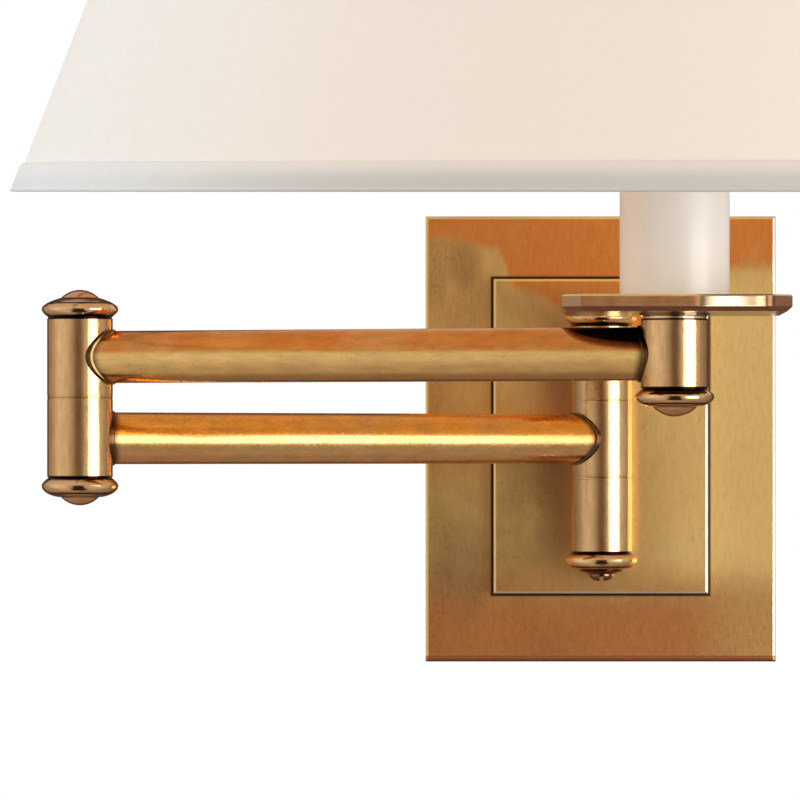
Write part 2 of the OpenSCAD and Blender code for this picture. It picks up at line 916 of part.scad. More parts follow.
module harp_saddle() {
    tab_x = harp_w / 2 + saddle_tab;
    color(brass)
        at_holder()
            difference() {
                union() {
                    translate([0, 0, saddle_z])
                        cylinder(r = socket_d / 2 + saddle_rim, h = saddle_t);
                    translate([-tab_x, -saddle_strap_w / 2, saddle_z])
                        cube([2 * tab_x, saddle_strap_w, saddle_t]);
                    for (s = [-1, 1])
                        translate([s * harp_w / 2, 0, saddle_z])
                            cylinder(r = saddle_post_r, h = saddle_t + saddle_post_h);
                }
                translate([0, 0, saddle_z - 1])
                    cylinder(r = socket_d / 2 + seat_fit, h = saddle_t + 2);
            }
}

module socket_ring() {
    r = socket_d / 2;
    color(brass)
        at_holder()
            tube_z(r + saddle_rim - 1, r + seat_fit, ring_nut_z, ring_nut_z + ring_nut_h);
}

// An inverted U of wire with a sleeve over each saddle post and a stud on top
module harp() {
    r = harp_wire_r;
    half = harp_w / 2;
    foot_z = saddle_z + saddle_t + harp_foot_gap;
    leg_top = harp_top_z - r - harp_bend;
    color(brass)
        leaned() {
            difference() {
                union() {
                    for (s = [-1, 1]) {
                        translate([s * half, 0, foot_z])
                            cylinder(r = r + harp_sleeve_t, h = harp_sleeve_len);
                        translate([s * half, 0, foot_z])
                            cylinder(r = r, h = leg_top - foot_z);
                        translate([s * (half - harp_bend), 0, leg_top])
                            rotate([90, 0, 0])
                                rotate([0, 0, s > 0 ? 0 : 90])
                                    rotate_extrude(angle = 90)
                                        translate([harp_bend, 0])
                                            circle(r = r, $fn = 24);
                    }
                    translate([harp_bend - half, 0, harp_top_z - r])
                        rotate([0, 90, 0])
                            cylinder(r = r, h = 2 * (half - harp_bend));
                    translate([0, 0, harp_top_z - 2 * r])
                        cylinder(r = harp_boss_r, h = 2 * r + 2);
                    translate([0, 0, harp_top_z])
                        cylinder(r = stud_r, h = stud_h);
                }
                for (s = [-1, 1])
                    translate([s * half, 0, foot_z - 1])
                        cylinder(r = saddle_post_r + 0.7, h = saddle_post_h + 3);
            }
        }
}

// Shares of the finial's radius and height, from its foot to its tip
finial_outline = [
    [0, 0], [0.98, 0], [0.98, 0.07], [0.66, 0.1], [0.53, 0.19], [0.53, 0.37], [0.71, 0.43],
    [0.92, 0.53], [1, 0.66], [0.92, 0.79], [0.71, 0.9], [0.37, 0.97], [0, 1]
];

module finial() {
    base_z = hub_z + hub_t + 0.2;
    bore_depth = harp_top_z + stud_h - base_z + 0.5;
    color(brass)
        leaned()
            difference() {
                rotate_extrude()
                    polygon([for (p = finial_outline) [p[0] * finial_d / 2, base_z + p[1] * finial_h]]);
                translate([0, 0, base_z - 1])
                    cylinder(r = stud_r + seat_fit, h = bore_depth + 1);
            }
}

// Shade

module spider() {
    ring_z = rim_z + shade_h - ring_wire_d;
    ring_r = shade_r(shade_h - ring_wire_d) - rim_off;
    drop = ring_z - hub_z - hub_t / 2;
    run = ring_r - spider_root;
    color(brass)
        leaned()
            difference() {
                union() {
                    translate([0, 0, ring_z])
                        rotate_extrude()
                            translate([ring_r, 0])
                                circle(d = ring_wire_d, $fn = 24);
                    translate([0, 0, hub_z])
                        cylinder(r = hub_r, h = hub_t);
                    for (a = [90, 210, 330])
                        rotate([0, 0, a])
                            translate([spider_root, 0, hub_z + hub_t / 2])
                                rotate([0, 90 - atan(drop / run), 0])
                                    cylinder(d = spider_wire_d, h = sqrt(run * run + drop * drop));
                }
                translate([0, 0, hub_z - 1])
                    cylinder(r = stud_r + run_fit, h = hub_t + 2);
                translate([0, 0, hub_z + hub_t])
                    cylinder(r = hub_r - 1, h = 3 * hub_t);
            }
}

module bottom_ring() {
    color(brass)
        leaned()
            translate([0, 0, rim_z + ring_wire_d])
                rotate_extrude()
                    translate([shade_r(ring_wire_d) - rim_off, 0])
                        circle(d = ring_wire_d, $fn = 24);
}

module shade_skin() {
    color(linen)
        leaned()
            rotate_extrude()
                polygon([
                    [shade_bottom_r - shade_t, rim_z],
                    [shade_bottom_r, rim_z],
                    [shade_top_r, rim_z + shade_h],
                    [shade_top_r - shade_t, rim_z + shade_h]
                ]);
}

// A folded band over one rim of the shade, with soft edges
module trim_band(h0, h1, fold) {
    g = seat_fit;
    color(linen)
        leaned()
            rotate_extrude()
                polygon([
                    [shade_r(h0) + g, rim_z + h0],
                    [shade_r(h0) + g + trim_t - 0.3, rim_z + h0],
                    [shade_r(h0) + g + trim_t, rim_z + h0 + 0.4 * fold],
                    [shade_r(h1) + g + trim_t, rim_z + h1 - 0.4 * fold],
                    [shade_r(h1) + g + trim_t - 0.3, rim_z + h1],
                    [shade_r(h1) + g, rim_z + h1]
                ]);
}

module top_trim() { trim_band(shade_h, shade_h - trim_h, -1); }
module bottom_trim() { trim_band(0, trim_h, 1); }

mounting_bar();
ground_screw();
backplate();
side_screws();
raised_plate();
post_upper_stem();
post_lower_stem();
stem_washers();
stem_nuts();
post_upper_knuckle();
post_lower_knuckle();
post_washers();
post_pin();
post_top_cap();
post_bottom_cap();
post_screw();
post_middle_knuckle();
lower_arm_tube();
elbow_lower_knuckle();
elbow_washer();
elbow_pin();
elbow_bottom_cap();
elbow_top_cap();
elbow_upper_knuckle();
upper_arm_tube();
holder_knuckle();
holder_bottom_cap();
holder_nipple();
holder_collar();
drip_plate();
drip_plate_nut();
candle_sleeve();
socket_cap();
socket_body();
socket_shell();
socket_contact();
bulb_base();
bulb_glass();
harp_saddle();
socket_ring();
harp();
finial();
spider();
bottom_ring();
shade_skin();
top_trim();
bottom_trim();
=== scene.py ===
# %% [markdown]
# Swing arm wall lamp: the dressed model.
#
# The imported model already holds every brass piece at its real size, so this lesson is mostly about
# finish: how to make brushed and polished antique brass, a satin candle sleeve and a hard fabric shade
# from node materials alone, and how to light polished metal so that its shape reads.
# Everything is in metres. The wall is the plane y = 0, the lamp stands out toward -Y and +Z is up.

# %% Load the frame
import json
import math

import bmesh
import bpy
from mathutils import Matrix, Vector


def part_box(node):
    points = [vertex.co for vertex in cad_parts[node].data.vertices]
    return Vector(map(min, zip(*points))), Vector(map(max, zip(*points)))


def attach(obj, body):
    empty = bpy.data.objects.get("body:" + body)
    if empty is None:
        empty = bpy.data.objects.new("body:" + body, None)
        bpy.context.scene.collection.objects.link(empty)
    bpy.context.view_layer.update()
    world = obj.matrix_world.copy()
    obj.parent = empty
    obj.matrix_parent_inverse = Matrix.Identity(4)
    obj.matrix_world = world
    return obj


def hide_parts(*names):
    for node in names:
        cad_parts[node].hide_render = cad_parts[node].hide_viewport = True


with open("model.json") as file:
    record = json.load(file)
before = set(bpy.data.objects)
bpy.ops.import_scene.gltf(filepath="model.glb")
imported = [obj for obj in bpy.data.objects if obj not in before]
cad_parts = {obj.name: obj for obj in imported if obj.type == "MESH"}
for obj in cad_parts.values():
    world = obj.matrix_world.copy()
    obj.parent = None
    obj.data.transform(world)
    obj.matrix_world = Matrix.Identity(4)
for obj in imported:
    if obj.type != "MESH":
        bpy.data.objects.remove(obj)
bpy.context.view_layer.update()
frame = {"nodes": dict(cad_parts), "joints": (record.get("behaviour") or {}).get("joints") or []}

nodes = frame["nodes"]
joints = {joint["name"]: joint for joint in frame["joints"]}
scene = bpy.context.scene

# %% [markdown]
# A camera with a long lens sees the lamp from almost two metres away. It could be tilted until the lamp
# fits the picture, but then the plate's upright edges would lean. The lens shift slides the picture
# instead, so they stay upright, as they do in a product photograph. The horizon is the pixel that the
# camera looks at straight on.

# %% Camera
IMAGE = 800
FOCAL_PIXELS = 5730
HORIZON = (521, 450)
EYE = (-0.026, -1.890, -0.0036)
SENSOR = 36.0


def make_camera():
    data = bpy.data.cameras.new("lamp_camera")
    data.sensor_width = SENSOR
    data.lens = FOCAL_PIXELS * SENSOR / IMAGE
    data.shift_x = (IMAGE / 2 - HORIZON[0]) / IMAGE
    data.shift_y = (HORIZON[1] - IMAGE / 2) / IMAGE
    data.clip_start = 0.05
    camera = bpy.data.objects.new("lamp_camera", data)
    camera.location = EYE
    camera.rotation_euler = (math.radians(90), 0, 0)
    scene.collection.objects.link(camera)
    scene.camera = camera
    return camera


camera = make_camera()
print("lens:", round(camera.data.lens, 1), "mm")

# %% [markdown]
# Every finish below is a tree of shader nodes. Trees are easier to read when one short helper adds a
# node and fills its inputs: a value that is a socket is linked, and anything else is written in.


# %% Node helpers
def join(tree, value, socket):
    if isinstance(value, bpy.types.NodeSocket):
        tree.links.new(value, socket)
    else:
        socket.default_value = value


def put(tree, kind, inputs=None, **settings):
    node = tree.nodes.new(kind)
    for name, value in settings.items():
        setattr(node, name, value)
    for name, value in (inputs or {}).items():
        join(tree, value, node.inputs[name])
    return node


def math_node(tree, operation, a, b=0.0, clamp=False):
    return put(tree, "ShaderNodeMath", {0: a, 1: b}, operation=operation, use_clamp=clamp).outputs[0]


def mix_colour(tree, factor, a, b, blend="MIX"):
    return put(tree, "ShaderNodeMix", {0: factor, 6: a, 7: b}, data_type="RGBA", blend_type=blend).outputs[2]


def vector_node(tree, operation, *vectors):
    return put(tree, "ShaderNodeVectorMath", dict(enumerate(vectors)), operation=operation).outputs


print("node helpers:", [helper.__name__ for helper in (join, put, math_node, vector_node, mix_colour)])

# %% [markdown]
# A mask is a number from 0 to 1 that says how much of one colour lies over another. Masks are multiplied
# where several things have to be true at once, and the largest is taken where any of them will do. Most
# of them here are one eased step, from the value where it starts to the value where it ends, and a band
# is a step up times a step down.


# %% Mask helpers
def spread(tree, value, low, high, out_low=0.0, out_high=1.0):
    """An eased step: out_low where the value is low, out_high where it is high."""
    ends = {"Value": value, "From Min": low, "From Max": high, "To Min": out_low, "To Max": out_high}
    return put(tree, "ShaderNodeMapRange", ends, interpolation_type="SMOOTHSTEP").outputs["Result"]


def times(tree, first, *others):
    for other in others:
        first = math_node(tree, "MULTIPLY", first, other)
    return first


def largest(tree, first, *others):
    for other in others:
        first = math_node(tree, "MAXIMUM", first, other)
    return first


def plus(tree, a, b):
    return math_node(tree, "ADD", a, b)


def minus(tree, a, b):
    return math_node(tree, "SUBTRACT", a, b)


def apart(tree, a, b):
    """How far two values are apart, without a sign."""
    return math_node(tree, "ABSOLUTE", minus(tree, a, b))


def band(tree, value, rise, fall):
    """1 between a rise and a fall along a value, and 0 outside them."""
    return times(tree, spread(tree, value, *rise), spread(tree, value, *fall))


print("mask helpers:", [helper.__name__ for helper in (spread, times, largest, plus, minus, apart, band)])

# %% [markdown]
# A node group is a small tree with named inputs and outputs. It is built once and placed in several
# materials, each time with its own values, so a shared effect is written in one place. Each material
# starts from one Principled surface and the piece's own coordinates. Those ride along with the piece,
# so the finish doesn't slide over it when a joint moves.


# %% Group and material helpers
def open_group(name, inputs, outputs):
    """Starts a group from (label, kind, value) inputs and (label, kind) outputs."""
    tree = bpy.data.node_groups.new(name, "ShaderNodeTree")
    for label, kind, value in inputs:
        socket = tree.interface.new_socket(name=label, in_out="INPUT", socket_type="NodeSocket" + kind)
        if value is not None:
            socket.default_value = value
    for label, kind in outputs:
        tree.interface.new_socket(name=label, in_out="OUTPUT", socket_type="NodeSocket" + kind)
    return tree, tree.nodes.new("NodeGroupInput").outputs, tree.nodes.new("NodeGroupOutput").inputs


def use_group(tree, group, inputs):
    return put(tree, "ShaderNodeGroup", inputs, node_tree=group).outputs


def new_material(name):
    material = bpy.data.materials.new(name)
    material.use_nodes = True
    tree = material.node_tree
    tree.nodes.clear()
    surface = tree.nodes.new("ShaderNodeBsdfPrincipled")
    output = tree.nodes.new("ShaderNodeOutputMaterial")
    tree.links.new(surface.outputs[0], output.inputs["Surface"])
    place = tree.nodes.new("ShaderNodeTexCoord").outputs["Object"]
    return material, tree, surface, place


def feed(surface, inputs):
    """Fills several inputs of a material's surface by their names."""
    for name, value in inputs.items():
        join(surface.id_data, value, surface.inputs[name])


print("group helpers:", [helper.__name__ for helper in (open_group, use_group, new_material, feed)])

# %% [markdown]
# Brushed metal is covered in fine scratches that all run one way. They could be painted on a picture,
# but a picture needs unwrapping and looks soft close up. Noise that is squeezed across the brushing and
# stretched along it gives both the streaks that change the gloss and the tiny ridges, at any size.
# The group is built once, and each brass material places it with its own direction and scale.

# %% Shared effect: brushing
RIDGE = 0.0001


def stretched(tree, place, scale):
    return put(tree, "ShaderNodeMapping", {"Vector": place, "Scale": scale}).outputs[0]


def noise(tree, place, scale, detail, roughness=0.5, distortion=0.0):
    """Cloudy noise; scale is its number of lumps to a metre."""
    look = {"Scale": scale, "Detail": detail, "Roughness": roughness, "Distortion": distortion}
    return put(tree, "ShaderNodeTexNoise", {"Vector": place, **look}).outputs["Fac"]


def ridges(tree, height, strength, depth):
    bump = put(tree, "ShaderNodeBump", {"Strength": strength, "Distance": depth, "Height": height})
    return bump.outputs["Normal"]


def finish_metal(tree, surface, tone, brushing, smooth, rough, metallic=1.0, normal=None):
    """Fills a metal's surface: its tone, a gloss that follows the fine scratches, and its ridges."""
    gloss = spread(tree, brushing["Fine"], 0.3, 0.7, smooth, rough)
    normal = brushing["Normal"] if normal is None else normal
    feed(surface, {"Base Color": tone, "Roughness": gloss, "Metallic": metallic, "Normal": normal})


def build_brushing():
    tree, given, out = open_group(
        "brushing",
        [("Place", "Vector", None), ("Scale", "Vector", (1.0, 1.0, 1.0)), ("Depth", "Float", 0.1)],
        [("Streaks", "Float"), ("Fine", "Float"), ("Normal", "Vector")],
    )
    squeezed = stretched(tree, given["Place"], given["Scale"])
    broad = noise(tree, squeezed, 1.0, 4.0, 0.6)
    fine = noise(tree, squeezed, 5.0, 3.0, 0.7)
    tree.links.new(broad, out["Streaks"])
    tree.links.new(fine, out["Fine"])
    tree.links.new(ridges(tree, plus(tree, broad, fine), given["Depth"], RIDGE), out["Normal"])
    return tree


BRUSHING = build_brushing()
print("group:", BRUSHING.name, "nodes:", len(BRUSHING.nodes))

# %% [markdown]
# Antique brass is darkened with a stain and then rubbed back by hand. What is left is never even:
# soft clouds of olive and copper lie over the yellow metal, with small darker specks in them. One slow
# noise draws the clouds for both colours, so the copper is thin where the olive is strong.

# %% Shared effect: rubbed stain
SPECK = (0.16, 0.09, 0.035, 1)
SPECKS_A_METRE = 900.0


def build_stain():
    tree, given, out = open_group(
        "rubbed_stain",
        [
            ("Place", "Vector", None),
            ("Gold", "Color", (0.8, 0.5, 0.16, 1)),
            ("Olive", "Color", (0.5, 0.3, 0.1, 1)),
            ("Copper", "Color", (0.7, 0.25, 0.05, 1)),
            ("Olive Share", "Float", 0.5),
            ("Copper Share", "Float", 0.3),
            ("Cloud Size", "Float", 0.03),
        ],
        [("Color", "Color"), ("Cloud", "Float")],
    )
    place = given["Place"]
    clouds_a_metre = math_node(tree, "DIVIDE", 1.0, given["Cloud Size"])
    cloud = spread(tree, noise(tree, place, clouds_a_metre, 3.0, 0.55, 0.4), 0.34, 0.68)
    speck = spread(tree, noise(tree, place, SPECKS_A_METRE, 2.0), 0.62, 0.78, 0.0, 0.25)
    olive = math_node(tree, "MULTIPLY", given["Olive Share"], plus(tree, cloud, 0.25), clamp=True)
    thin = minus(tree, 1.1, times(tree, cloud, 0.5))
    copper = math_node(tree, "MULTIPLY", given["Copper Share"], thin, clamp=True)
    tone = mix_colour(tree, olive, given["Gold"], given["Olive"])
    tone = mix_colour(tree, copper, tone, given["Copper"])
    tree.links.new(mix_colour(tree, speck, tone, SPECK), out["Color"])
    tree.links.new(cloud, out["Cloud"])
    return tree


STAIN = build_stain()
print("group:", STAIN.name, "nodes:", len(STAIN.nodes))

# %% [markdown]
# The backplate and the raised plate get a painted highlight along their edges. Edges could be found from
# the mesh's curvature, but on a flat plate it is enough to ask which way the surface faces: whatever turns
# from the front is an edge. The right and the lower edges get a paler painted highlight than the others.
# The groove round the raised plate gets painted shade, and its mask is the distance from that plate's
# box.

# %% Plate edges and groove
GOLD = (1.0, 0.70, 0.26, 1)
OLIVE = (0.70, 0.42, 0.15, 1)
COPPER = (0.94, 0.345, 0.08, 1)
EDGE_HIGHLIGHT = (1.0, 0.96, 0.82, 1)
EDGE_HIGHLIGHT_WARM = (1.0, 0.70, 0.24, 1)
# Painted shade in the groove round the raised plate.
GROOVE_SHADE = (0.07, 0.035, 0.02, 1)
GROOVE = 0.0012


def axis_value(tree, place, axis):
    return put(tree, "ShaderNodeSeparateXYZ", {0: place}).outputs[axis]


def facing(tree, axis):
    """How much a surface faces along an axis, from -1 to 1."""
    return axis_value(tree, put(tree, "ShaderNodeTexCoord").outputs["Normal"], axis)


def highlight_edges(tree, tone):
    """Mixes a painted highlight into a tone where the face turns from the front: pale at the right and below.
    """
    on_edge = spread(tree, math_node(tree, "ABSOLUTE", facing(tree, 1)), 0.99, 0.97)
    below = times(tree, facing(tree, 2), -1.0)
    pale = spread(tree, largest(tree, facing(tree, 0), below), 0.0, 0.25)
    return mix_colour(tree, on_edge, tone, mix_colour(tree, pale, EDGE_HIGHLIGHT_WARM, EDGE_HIGHLIGHT))


def groove_round(tree, place, box):
    """Mask of the narrow groove round a node's box in the wall plane. It comes from how far outside the
    box a place lies, measured in widths of the groove."""
    low, high = box
    steps = []
    for axis in (0, 2):
        middle = (low[axis] + high[axis]) / 2
        half = (high[axis] - low[axis]) / 2
        steps.append(minus(tree, apart(tree, axis_value(tree, place, axis), middle), half))
    outside = math_node(tree, "DIVIDE", largest(tree, *steps), GROOVE)
    return band(tree, outside, (-0.3, 0.0), (1.2, 0.5))


print("groove round the raised plate:", GROOVE, "m")

# %% [markdown]
# The plates were stained, then rubbed by hand with fine wool, up and down. Over the stain lie painted
# reflections: copper in a band along the top, whose lower edge is a slow curve, and copper again at the
# foot. The darker olive of the left side is painted shade, and close beside the post, at its left, a brown
# strip is painted shadow of the post. Those slow changes follow the piece's own height and width, so they
# stay where they are from every side. Each zone is a pair of places in metres, where it starts and where
# it is full.

# %% Plate zones
OLIVE_SIDE = (0.012, -0.022)
TOP_EDGE = (-0.003, 0.0025)
FOOT_ZONE = (-0.036, -0.060)
RIGHT_CORNER = (0.024, 0.050)
POST_LEFT = ((-0.024, -0.013), (-0.002, -0.009))
POST_REACH = (0.046, 0.030)
PLATE_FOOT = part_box("backplate")[0][2]
FOOT_EDGE = (PLATE_FOOT + 0.0021, PLATE_FOOT + 0.0018)
FOOT_LINE = (PLATE_FOOT + 0.0006, PLATE_FOOT + 0.0003)
BORDER_LEFT = (-0.056, -0.034, 0.0660, 0.0630)
BORDER_STEPS = [(-0.034, -0.027, 0.0, -0.014), (-0.027, 0.005, 0.0, -0.014), (0.018, 0.034, 0.0, 0.021)]


def top_reflection_border(tree, across):
    """Height at which the painted copper reflection along the top ends: low behind the post, higher at both
    sides. Each step goes from one place to another, and from one change of height to another."""
    height = spread(tree, across, *BORDER_LEFT)
    for step in BORDER_STEPS:
        height = plus(tree, height, spread(tree, across, *step))
    return height


def foot_reflection(tree, across, height):
    """The painted copper reflection at the foot, which is thinner toward the right corner."""
    corner = times(tree, spread(tree, across, *RIGHT_CORNER), 0.55)
    return times(tree, spread(tree, height, *FOOT_ZONE, 0.0, 0.9), minus(tree, 1.0, corner))


# Painted shadow of the post on the plate, at its left.
def post_shadow(tree, across, height):
    reach = spread(tree, math_node(tree, "ABSOLUTE", height), *POST_REACH)
    return times(tree, band(tree, across, *POST_LEFT), reach, 0.6)


print("plate foot:", round(PLATE_FOOT, 4), "m")

# %% [markdown]
# Where the wool missed, the stain left a few smoky patches on the olive side, and small brown dots. A
# patch is a soft ellipse that the same clouds break up, and the dots are fine noise that shows only
# where the clouds are strong. The right side was rubbed through to bare metal, so it mirrors less
# evenly; a lower metallic value there stands for the dull, scattered shine of worn brass.

# %% Plate smoke, dots and wear
SMOKE_TONE = (0.42, 0.24, 0.11, 1)
DOT_TONE = (0.30, 0.18, 0.09, 1)
DOTS_A_METRE = (2400.0, 2400.0, 1000.0)
WORN_RIGHT = (0.002, 0.034)
WORN_HEIGHTS = ((0.062, 0.036), (-0.055, -0.036))
SMOKE = [
    (-0.046, -0.042, 0.012, 0.022, 0.50),
    (-0.044, 0.056, 0.008, 0.010, 0.35),
    (-0.014, 0.044, 0.024, 0.009, 0.40),
    (-0.022, -0.006, 0.018, 0.014, 0.30),
]


def far_from(tree, place, point):
    return vector_node(tree, "DISTANCE", place, point)["Value"]


def lay_smoke(tree, tone, place, cloud):
    """Lays each patch of (x, z, half width, half height, share) over a tone."""
    for x, z, wide, high, share in SMOKE:
        shrunk = stretched(tree, place, (1 / wide, 0.0, 1 / high))
        soft = spread(tree, far_from(tree, shrunk, (x / wide, 0.0, z / high)), 1.0, 0.3, 0.0, share)
        tone = mix_colour(tree, times(tree, soft, spread(tree, cloud, 0.0, 0.8, 0.5, 1.0)), tone, SMOKE_TONE)
    return tone


def lay_dots(tree, tone, place, cloud, left, top):
    dots = spread(tree, noise(tree, stretched(tree, place, DOTS_A_METRE), 1.0, 2.0), 0.48, 0.66)
    clouded = times(tree, left, spread(tree, cloud, 0.35, 0.75), minus(tree, 1.0, top))
    return mix_colour(tree, times(tree, dots, clouded, 0.30), tone, DOT_TONE)


def worn_metal(tree, across, height, cloud):
    to_right = spread(tree, across, *WORN_RIGHT)
    halfway_up = band(tree, height, *WORN_HEIGHTS)
    worn = times(tree, to_right, halfway_up, spread(tree, cloud, 0.2, 0.7, 0.75, 1.0))
    return spread(tree, worn, 0.0, 1.0, 0.90, 0.35)


print("smoky patches:", len(SMOKE))

# %% [markdown]
# Now the plate brass is put together, from the bottom layer up: stained metal with its painted reflections
# and shade, the painted copper reflection at the foot, painted shade in the groove, the painted shadow
# beside the post, smoke and dots, and the brushing's own streaks. The painted edge highlights come after
# them, so they lie over all of those, and the foot's lower edge gets its dark line last.

# %% Plate brass
PLATE_GRAIN = (900.0, 900.0, 200.0)
UPRIGHT_CLOUDS = (1.3, 1.0, 0.7)
FOOT_REFLECTION_TONE = (0.84, 0.315, 0.10, 1)
POST_SHADOW_TONE = (0.60, 0.25, 0.11, 1)
FOOT_EDGE_TONE = (0.60, 0.23, 0.085, 1)
FOOT_LINE_TONE = (0.26, 0.09, 0.05, 1)


def streak(tree, tone, streaks, dark, light):
    """Lets the brushing's broad streaks darken and lighten a tone."""
    level = spread(tree, streaks, 0.3, 0.7, dark, light)
    grey = put(tree, "ShaderNodeCombineColor", {0: level, 1: level, 2: level}).outputs[0]
    return mix_colour(tree, 1.0, tone, grey, "MULTIPLY")


def plate_brass():
    material, tree, surface, place = new_material("plate_brass")
    brushing = use_group(tree, BRUSHING, {"Place": place, "Scale": PLATE_GRAIN, "Depth": 0.07})
    across, height = axis_value(tree, place, 0), axis_value(tree, place, 2)
    # Painted shade makes the left side darker olive, and a painted reflection lays copper along the top.
    left = spread(tree, across, *OLIVE_SIDE)
    top = spread(tree, minus(tree, height, top_reflection_border(tree, across)), *TOP_EDGE)
    shares = {
        "Olive Share": plus(tree, times(tree, left, 0.70), 0.06),
        "Copper Share": plus(tree, times(tree, top, 1.15), 0.08),
    }
    clouds = {"Place": stretched(tree, place, UPRIGHT_CLOUDS), "Cloud Size": 0.036}
    stain = use_group(tree, STAIN, {"Gold": GOLD, "Olive": OLIVE, "Copper": COPPER, **shares, **clouds})
    cloud = stain["Cloud"]
    tone = mix_colour(tree, foot_reflection(tree, across, height), stain["Color"], FOOT_REFLECTION_TONE)
    tone = mix_colour(tree, groove_round(tree, place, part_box("raised_plate")), tone, GROOVE_SHADE)
    tone = mix_colour(tree, post_shadow(tree, across, height), tone, POST_SHADOW_TONE)
    tone = lay_smoke(tree, tone, place, cloud)
    tone = lay_dots(tree, tone, place, cloud, left, top)
    tone = highlight_edges(tree, streak(tree, tone, brushing["Streaks"], 0.95, 1.05))
    tone = mix_colour(tree, spread(tree, height, *FOOT_EDGE), tone, FOOT_EDGE_TONE)
    tone = mix_colour(tree, spread(tree, height, *FOOT_LINE), tone, FOOT_LINE_TONE)
    finish_metal(tree, surface, tone, brushing, 0.30, 0.40, worn_metal(tree, across, height, cloud))
    return material


def dress(names, material):
    """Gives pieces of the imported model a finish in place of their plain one."""
    for name in names:
        materials = nodes[name].data.materials
        materials.clear()
        materials.append(material)


dress(["backplate", "raised_plate"], plate_brass())
print("plate material nodes:", len(bpy.data.materials["plate_brass"].node_tree.nodes))

# %% [markdown]
# The tubes and the turned pieces were polished on a wheel. They reflect almost like a mirror, so their
# roughness is low, with faint rings or lines left by the wheel. Upward faces get a copper tone and downward
# faces an underside tone, painted reflections of the room above and below. The tubes also show pale
# patches of fine pits, where the wheel only skimmed the metal.

# %% Polished brass
ARM_OLIVE = (0.68, 0.40, 0.17, 1)
PIT_TONE = (1.0, 0.80, 0.42, 1)
TURNS = (0.02, 0.24, -0.15)
STRAIGHT_DOWN = -0.92


def lay_pits(tree, tone, place, tilt, share):
    """Lays patches of pale pits over a tone, on faces that don't look up."""
    patches = spread(tree, noise(tree, place, 26.0, 1.0), 0.46, 0.62)
    pits = spread(tree, noise(tree, place, 1300.0, 2.0), 0.36, 0.72)
    return mix_colour(tree, times(tree, pits, patches, spread(tree, tilt, 0.25, 0.0), share), tone, PIT_TONE)


def polished_brass(name, tones, grain, depth, rough, up_reflection, down_reflection, turns=TURNS, pitted=0.0):
    """Tones are gold, the painted copper reflection of upward faces and the painted underside reflection.
    Turns are the tilts where the copper starts and is full, and where the underside starts."""
    material, tree, surface, place = new_material(name)
    gold, copper, underside = tones
    brushing = use_group(tree, BRUSHING, {"Place": place, "Scale": grain, "Depth": depth})
    tilt = facing(tree, 2)
    # Painted reflections: copper on upward faces, the underside tone on downward faces.
    up = spread(tree, tilt, turns[0], turns[1], 0.0, up_reflection)
    under = spread(tree, tilt, turns[2], STRAIGHT_DOWN, 0.0, down_reflection)
    shares = {"Olive Share": 0.35, "Copper Share": up}
    clouds = {"Place": place, "Cloud Size": 0.03}
    stain = use_group(tree, STAIN, {"Gold": gold, "Olive": ARM_OLIVE, "Copper": copper, **shares, **clouds})
    tone = mix_colour(tree, under, stain["Color"], underside)
    if pitted:
        tone = lay_pits(tree, tone, place, tilt, pitted)
    tone = streak(tree, tone, brushing["Streaks"], 0.90, 1.08)
    finish_metal(tree, surface, tone, brushing, rough * 0.75, rough * 1.3)
    return material


ARM_LOOK = {"grain": (150.0, 150.0, 600.0), "depth": 0.14, "up_reflection": 1.0}
UPPER_LOOK = {"rough": 0.22, "down_reflection": 0.60, "pitted": 0.22, **ARM_LOOK}
LOWER_LOOK = {"rough": 0.23, "down_reflection": 0.90, "pitted": 0.12, **ARM_LOOK}
# Both arms are one brass; the lower arm's darker gold is painted shade, its paler underside a painted
# reflection.
UPPER_TONES = ((1.0, 0.635, 0.215, 1), (0.80, 0.28, 0.06, 1), (0.50, 0.24, 0.11, 1))
LOWER_TONES = ((0.535, 0.285, 0.095, 1), (0.95, 0.37, 0.055, 1), (1.0, 0.58, 0.28, 1))
KNUCKLE_LOOK = {"grain": (600.0, 600.0, 160.0), "depth": 0.12, "rough": 0.17, "up_reflection": 0.0}
KNUCKLE_TONES = ((0.82, 0.495, 0.225, 1), COPPER, (0.42, 0.19, 0.09, 1))
CAP_LOOK = {"grain": (60.0, 60.0, 700.0), "depth": 0.04, "rough": 0.10, "up_reflection": 0.9}
CAP_TONES = ((1.0, 0.66, 0.34, 1), (0.80, 0.36, 0.16, 1), (0.80, 0.44, 0.24, 1))
CAP_TURNS = (0.40, 0.85, -0.45)
upper_arm_brass = polished_brass("upper_arm_brass", UPPER_TONES, **UPPER_LOOK)
lower_arm_brass = polished_brass("lower_arm_brass", LOWER_TONES, **LOWER_LOOK)
knuckle_brass = polished_brass("knuckle_brass", KNUCKLE_TONES, down_reflection=0.0, **KNUCKLE_LOOK)
cap_brass = polished_brass("cap_brass", CAP_TONES, down_reflection=0.6, turns=CAP_TURNS, **CAP_LOOK)
print("polished:", upper_arm_brass.name, lower_arm_brass.name, knuckle_brass.name, cap_brass.name)

# %% [markdown]
# Nearly black marks lie in the creases round the caps and at the ends of the arms, and on top of the upper
# arm under the drip plate a black patch is painted reflection of the plate's dark underside. They could be
# painted one by one, but all of them lie round a swivel, so masks made from the distance to the nearest
# swivel's axis find them at once. Each distance below is a radius round that axis, in metres.

# %% Shared effect: turned creases and a painted reflection
CREASE_AND_SHADE = (0.035, 0.016, 0.010, 1)
NECK = ((0.0094, 0.0099), (0.0108, 0.0102))
DOME_RADIUS = 0.0060
HOLDER_DOME_EXTRA = 0.0008
LEDGE_WIDTH = (0.00045, 0.00020)
ARM_END = (0.0130, 0.0104)
SHADED_LENGTH = 0.032
HOLDER_SIDE = (-0.17, -0.18)
AXES = {name: (*joints[name]["pos_m"][:2], 0.0) for name in ("post_swivel", "elbow_swivel", "shade_turn")}


